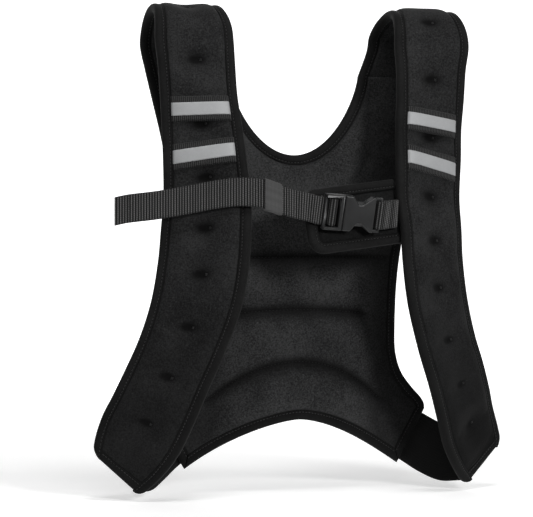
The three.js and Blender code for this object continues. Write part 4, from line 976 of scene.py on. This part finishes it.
def tipped(points):
    """Turns points about the buckle's middle, 4 degrees about y and then 12 about x. The turn fades
    out over the webbing on both sides."""
    centre = np.array([BUCKLE_X, CHEST_Y, BUCKLE_Z])
    x = points[..., 0]
    outside = np.maximum(np.maximum(FRAME_LEFT - x, x - END_BAR - WRAP), 0)
    share = smooth(1 - outside / 33)
    roll, pitch = radians(4) * share, radians(12) * share
    x, y, z = np.moveaxis(points - centre, -1, 0)
    x, z = x * np.cos(roll) + z * np.sin(roll), z * np.cos(roll) - x * np.sin(roll)
    y, z = y * np.cos(pitch) - z * np.sin(pitch), y * np.sin(pitch) + z * np.cos(pitch)
    return np.stack([x, y, z], -1) + centre


def half_turn(centre_x, direction):
    """Half a circle of webbing round a bar, from behind it to in front of it."""
    turn = np.linspace(0, pi, 9)
    return np.stack([centre_x + direction * WRAP * np.sin(turn), CHEST_Y + WRAP * np.cos(turn),
                     np.full(9, BUCKLE_Z)], 1)


def ribbon(name, route, node, hem=0.0):
    """Webbing: a flat section with round edges carried along a route, upright across it. Its faces
    rise and fall by a quarter of a millimetre at each rib, and its end may be folded double."""
    path = even(spline(route, np.linspace(0, 1, 40 * len(route))), 0.55)
    along = lengths(path)
    ahead = unit(np.gradient(path, axis=0))
    normal = unit(np.stack([ahead[:, 1], -ahead[:, 0], 0 * ahead[:, 0]], -1))
    u = np.linspace(-1, 1, 17)
    half = WEB_THICK / 2 * np.minimum(1, (1 - np.abs(u)) / 0.07 + 0.25) ** 0.5
    share = np.concatenate([u, u[::-1]])
    flat = np.concatenate([half, -half[::-1]])
    ribs = 0.26 * np.sin(along * 2 * pi / RIB_PITCH)
    double = 1.2 * smooth((along - along[-1] + hem) / 1.5) if hem else 0 * along
    height = flat * (1 + ribs / (WEB_THICK / 2) + double / WEB_THICK)[:, None]
    height = height + double[:, None] / 2
    rings = (path[:, None] + np.array([0, 0, 1.0]) * (share * WEB / 2)[None, :, None]
             + normal[:, None] * height[..., None])
    edge = smooth((np.abs(share) - 0.86) / 0.1)
    run = field(along[:, None], share * WEB / 2, edge)
    keep(tube(name, tipped(rings), run), "webbing", [node])
    return path, normal


def squarish(v):
    """Cosine or sine of a circle's angle, changed to that of a rounded square."""
    return np.sign(v) * np.abs(v) ** 0.22


def build_keeper(before, place, after):
    """Loop of elastic: a rounded rectangle carried round with a thin wall, along the webbing's way
    from the point before to the point after it."""
    way = unit(after - before)
    level = np.hypot(way[0], way[1])
    flat, fall = np.array([way[0], way[1], 0]) / level, way[2] / level
    thin, up = np.array([flat[1], -flat[0], 0]), np.array([0, 0, 1.0])
    turn = np.linspace(0, 2 * pi, 72, endpoint=False)
    section = np.linspace(0, 2 * pi, 20, endpoint=False)
    width = 8 * squarish(np.cos(section))
    grow = 0.8 + 0.7 + 0.7 * squarish(np.sin(section))
    wide = (LAYER + WEB_THICK) / 2 + grow
    tall = WEB / 2 - 0.8 + grow
    centre = place + np.array([0, LAYER / 2, 0])
    rings = (centre + thin * (wide * squarish(np.cos(turn))[:, None])[..., None]
             + up * (tall * squarish(np.sin(turn))[:, None] + fall * width)[..., None]
             + flat * width[None, :, None])
    around = np.broadcast_to((turn * 11)[:, None], rings.shape[:2])
    run = field(around, width, 0)
    keep(loop("keeper_loop", rings, run), "elastic", ["webbing_keeper"])


def build_chest_strap(straps):
    """Chest strap on both sides of the buckle. On the left its free end comes back in front."""
    tail = TAIL * [SPAN, CHEST_Y, CHEST_Z]
    behind_rail = CHEST_Y + BAR / 2 + GAP + WEB_THICK / 2
    bar = FRAME_LEFT + BAR + SLOT + BAR / 2
    rail = np.array([[FRAME_LEFT + BAR / 2, behind_rail, BUCKLE_Z]])
    rising = np.array([[bar - BAR / 2 - GAP, CHEST_Y - WRAP, BUCKLE_Z],
                       [FRAME_LEFT + BAR + GAP, behind_rail, BUCKLE_Z]])
    entry = np.array([[FRAME_LEFT - 2 * LAYER, behind_rail, BUCKLE_Z]])
    front = even(spline(np.vstack([entry, tail]), np.linspace(0, 1, 500)), 5)
    layer = np.array([[0, LAYER, 0]])
    back = front[front[:, 0] > tail[2, 0]][::-1] + layer
    route = np.vstack([back, rail + layer, half_turn(bar, 1), rising, rail, front])
    path, normal = ribbon("webbing_chest_left", route, "chest_webbing_left", hem=14)
    run = lengths(path)
    for offset, name in ((-13.2, "inner"), (-2.0, "outer")):
        here = int(np.argmin(np.abs(run - run[-1] - offset)))
        out = normal[here] * (1 if normal[here, 1] < 0 else -1)
        z = np.linspace(-11.5, 11.5, 24)
        line = path[here] + np.array([0, 0, 1.0]) * z[:, None] + out * 2.1
        sew(f"thread_tail_{name}", line, np.repeat(out[None], 24, 0), "black_thread",
            2.4, 1.8, 0.55)
    build_keeper(entry[0], tail[0], tail[1])

    strap = straps["right"]
    rim = strap.middle(strap.at_drop(-CHEST_Z / DROP), 0.0)
    seat = rim[0] - GAP - WEB_THICK
    share = np.array([1 / 3, 2 / 3, 1.0])

    def layer_points(offset):
        """One of the two layers between the buckle's bar and the strap's edge."""
        return np.stack([END_BAR + (seat - END_BAR) * share,
                         CHEST_Y + (rim[1] - CHEST_Y) * share + offset * (1 - 0.45 * share),
                         np.full(3, BUCKLE_Z)], 1)

    route = np.vstack([layer_points(WRAP)[::-1], half_turn(END_BAR, -1), layer_points(-WRAP)])
    ribbon("webbing_chest_right", route, "chest_webbing_right")


def build_buckle():
    """Both buckle halves: the CAD solids with their doubles merged, flat faces joined and every
    edge rounded by a fine bevel."""
    halves = {"buckle_male": "buckle_plug_half", "buckle_female": "buckle_socket_half"}
    for node, name in halves.items():
        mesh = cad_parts[node].data.copy()
        mesh.name = name
        work = bmesh.new()
        work.from_mesh(mesh)
        bmesh.ops.remove_doubles(work, verts=work.verts, dist=2e-5)
        bmesh.ops.dissolve_limit(work, angle_limit=radians(2), verts=work.verts,
                                 edges=work.edges)
        work.to_mesh(mesh)
        work.free()
        piece = bpy.data.objects.new(name, mesh)
        bpy.context.scene.collection.objects.link(piece)
        bevel = piece.modifiers.new("Rounding", "BEVEL")
        bevel.width, bevel.segments = 0.0005, 3
        bevel.limit_method, bevel.angle_limit = "ANGLE", radians(25)
        bevel.harden_normals = True
        mesh.polygons.foreach_set("use_smooth", np.ones(len(mesh.polygons), bool))
        keep(piece, "plastic", [node])


def build_buckle_pad(straps):
    """Padded tab behind the buckle: a crowned rounded rectangle, and edge tape round it."""
    strap = straps["right"]
    upper, rim, lower = (strap.middle(strap.at_drop((-CHEST_Z + PAD_HEIGHT * k) / DROP), 0.0)
                         for k in (-0.5, 0, 0.5))
    right, right_y = rim[0] + TAPE / 4, rim[1] + 2 * TAPE_HALF + PAD_SETBACK
    left_y = CHEST_Y + BUCKLE_THICKNESS / 2 + PAD_THICKNESS / 2 + PAD_CLEARANCE
    forwards = (right_y - left_y) / PAD_WIDTH
    leaning = (upper[1] - lower[1]) / (upper[2] - lower[2])
    tilt = radians(7)

    def lay(points):
        """Tilts the tab in its own plane, then leans it to the strap at its right end."""
        x, y, z = np.moveaxis(points, -1, 0)
        x, z = x * cos(tilt) - z * sin(tilt), z * cos(tilt) + x * sin(tilt)
        return np.stack([x + right, y + forwards * x + leaning * z + right_y, z + CHEST_Z], -1)

    def outline(inset):
        """Right end, top, round left end, bottom: straight runs and two quarter circles."""
        z, radius, left = PAD_HEIGHT / 2 - inset, PAD_CORNER - inset, PAD_CORNER - PAD_WIDTH
        high = PAD_HEIGHT / 2 - PAD_CORNER
        top = np.stack([np.linspace(0, left, 50), np.full(50, z)], 1)
        turns = []
        for start, centre in ((90, high), (180, -high)):
            a = np.radians(start + np.linspace(0, 90, 20))
            turns.append(np.stack([left + radius * np.cos(a), centre + radius * np.sin(a)], 1))
        line = np.vstack([top[:-1], *turns, (top[::-1] * [1, -1])[1:]])
        return np.stack([line[:, 0], 0 * line[:, 0], line[:, 1]], 1)

    rim_line, foot_line = lay(outline(0.0)), lay(outline(TAPE))
    normal = np.repeat(unit(np.array([[forwards, -1.0, leaning]])), len(rim_line), 0)
    tape("tape_buckle_pad", rim_line, foot_line, normal, "buckle_pad_binding")

    u, v = np.meshgrid(np.linspace(-1, 1, 70), np.linspace(-1, 1, 44))
    inset = TAPE - 0.2
    half = (PAD_WIDTH - inset) / 2
    x = -half + half * u * np.sqrt(1 - 0.06 * v**2 * (u < 0))
    z = (PAD_HEIGHT / 2 - inset) * v * np.sqrt(1 - 0.10 * u**2 * (u < 0))
    crown = PAD_EDGE + 1.1 * np.sqrt(np.clip((1 - u**6) * (1 - v**4), 0, 1))
    dents = 0.25 * ripple(np.stack([x, 0 * x, z], -1), 16, 3)
    sheets = [lay(np.stack([x, sign * (crown + dents * (crown - PAD_EDGE)), z], -1))
              for sign in (-1, 1)]
    # Painted shadow of the webbing and buckle over the whole tab, and painted shade towards its
    # rim.
    painted_shade = 0.68 + 0.25 * smooth((np.maximum(np.abs(v), -u) - 0.9) / 0.08)
    run = np.stack([x, z, painted_shade], -1)
    body = keep(shell("padding_buckle_pad", *sheets, run), "neoprene", ["buckle_pad"])


# ---- Stage ----

def build_stage():
    """Pale floor that curves up into a backdrop, the photograph's camera and soft lights."""
    floor_z, front, bend, radius, steps = -448.0, -300, 3200, 1700, 20
    turn = np.linspace(0, pi / 2, 18)[1:]
    y = np.concatenate([np.linspace(front, bend, steps), bend + radius * np.sin(turn),
                        [bend + radius] * 3])
    z = floor_z + np.concatenate([np.zeros(steps), radius * (1 - np.cos(turn)), [2500, 3400, 4500]])
    x = np.linspace(-2600, 4200, 12)
    grid = field(x, y[:, None], z[:, None])
    floor = mesh_object("studio_floor", grid.reshape(-1, 3), cells(*grid.shape[:2]).tolist())
    white = Finish("studio_white")
    cloud = white.noise(900, 2)
    place = white.node("ShaderNodeSeparateXYZ", inputs={0: white.place()})
    far = white.sharper(place["Y"], 0.8, 0.9)
    paint = white.set(
        Base_Color=white.mix(cloud, (0.86, 0.86, 0.86), (0.9, 0.9, 0.9)), Roughness=0.9,
        Emission_Color=white.mix(far, (0.36, 0.36, 0.36), (1, 1, 1)), Emission_Strength=1.0)
    floor.data.materials.append(paint)

    camera = bpy.data.objects.new("camera", bpy.data.cameras.new("camera"))
    bpy.context.scene.collection.objects.link(camera)
    camera.location = (-0.7058, -2.1597, -0.192)
    camera.rotation_euler = (radians(90), 0, radians(-18))
    camera.data.sensor_width, camera.data.lens = 36.0, 162.4
    camera.data.shift_x, camera.data.shift_y = -33.5 / 533, -34.5 / 533
    camera.data.clip_start, camera.data.clip_end = 0.05, 60
    bpy.context.scene.camera = camera

    world = bpy.data.worlds.new("studio_world")
    bpy.context.scene.world = world
    world.use_nodes = True
    world.node_tree.nodes["Background"].inputs["Color"].default_value = (1, 1, 1, 1)
    world.node_tree.nodes["Background"].inputs["Strength"].default_value = 0.16
    for name, place, size, power in (  # metres and watts
            ("key", (0.40, -1.75, 0.32), 0.3, 20), ("left", (-1.9, -0.8, 0.9), 0.8, 5),
            ("right", (1.6, -1.0, 1.0), 0.7, 2), ("top", (-0.1, -0.75, 1.3), 0.5, 11),
            ("rim", (1.2, 1.5, 0.9), 1.0, 6)):
        light = bpy.data.objects.new(name, bpy.data.lights.new(name, "AREA"))
        bpy.context.scene.collection.objects.link(light)
        light.data.size, light.data.energy = size, power
        light.location = place
        aim = Vector((0, 0, -0.2)) - Vector(place)
        light.rotation_euler = aim.to_track_quat("-Z", "Y").to_euler()
    bpy.context.scene.view_settings.view_transform = "Standard"


build_stage()
straps = {side: Strap(side) for side in SIDES}
for strap in straps.values():
    strap.build()
    strap.build_tapes()
build_panel()
build_edges(straps)
build_tacks(straps)
for side in SIDES:
    build_band(side)
build_chest_strap(straps)
build_buckle()
build_buckle_pad(straps)
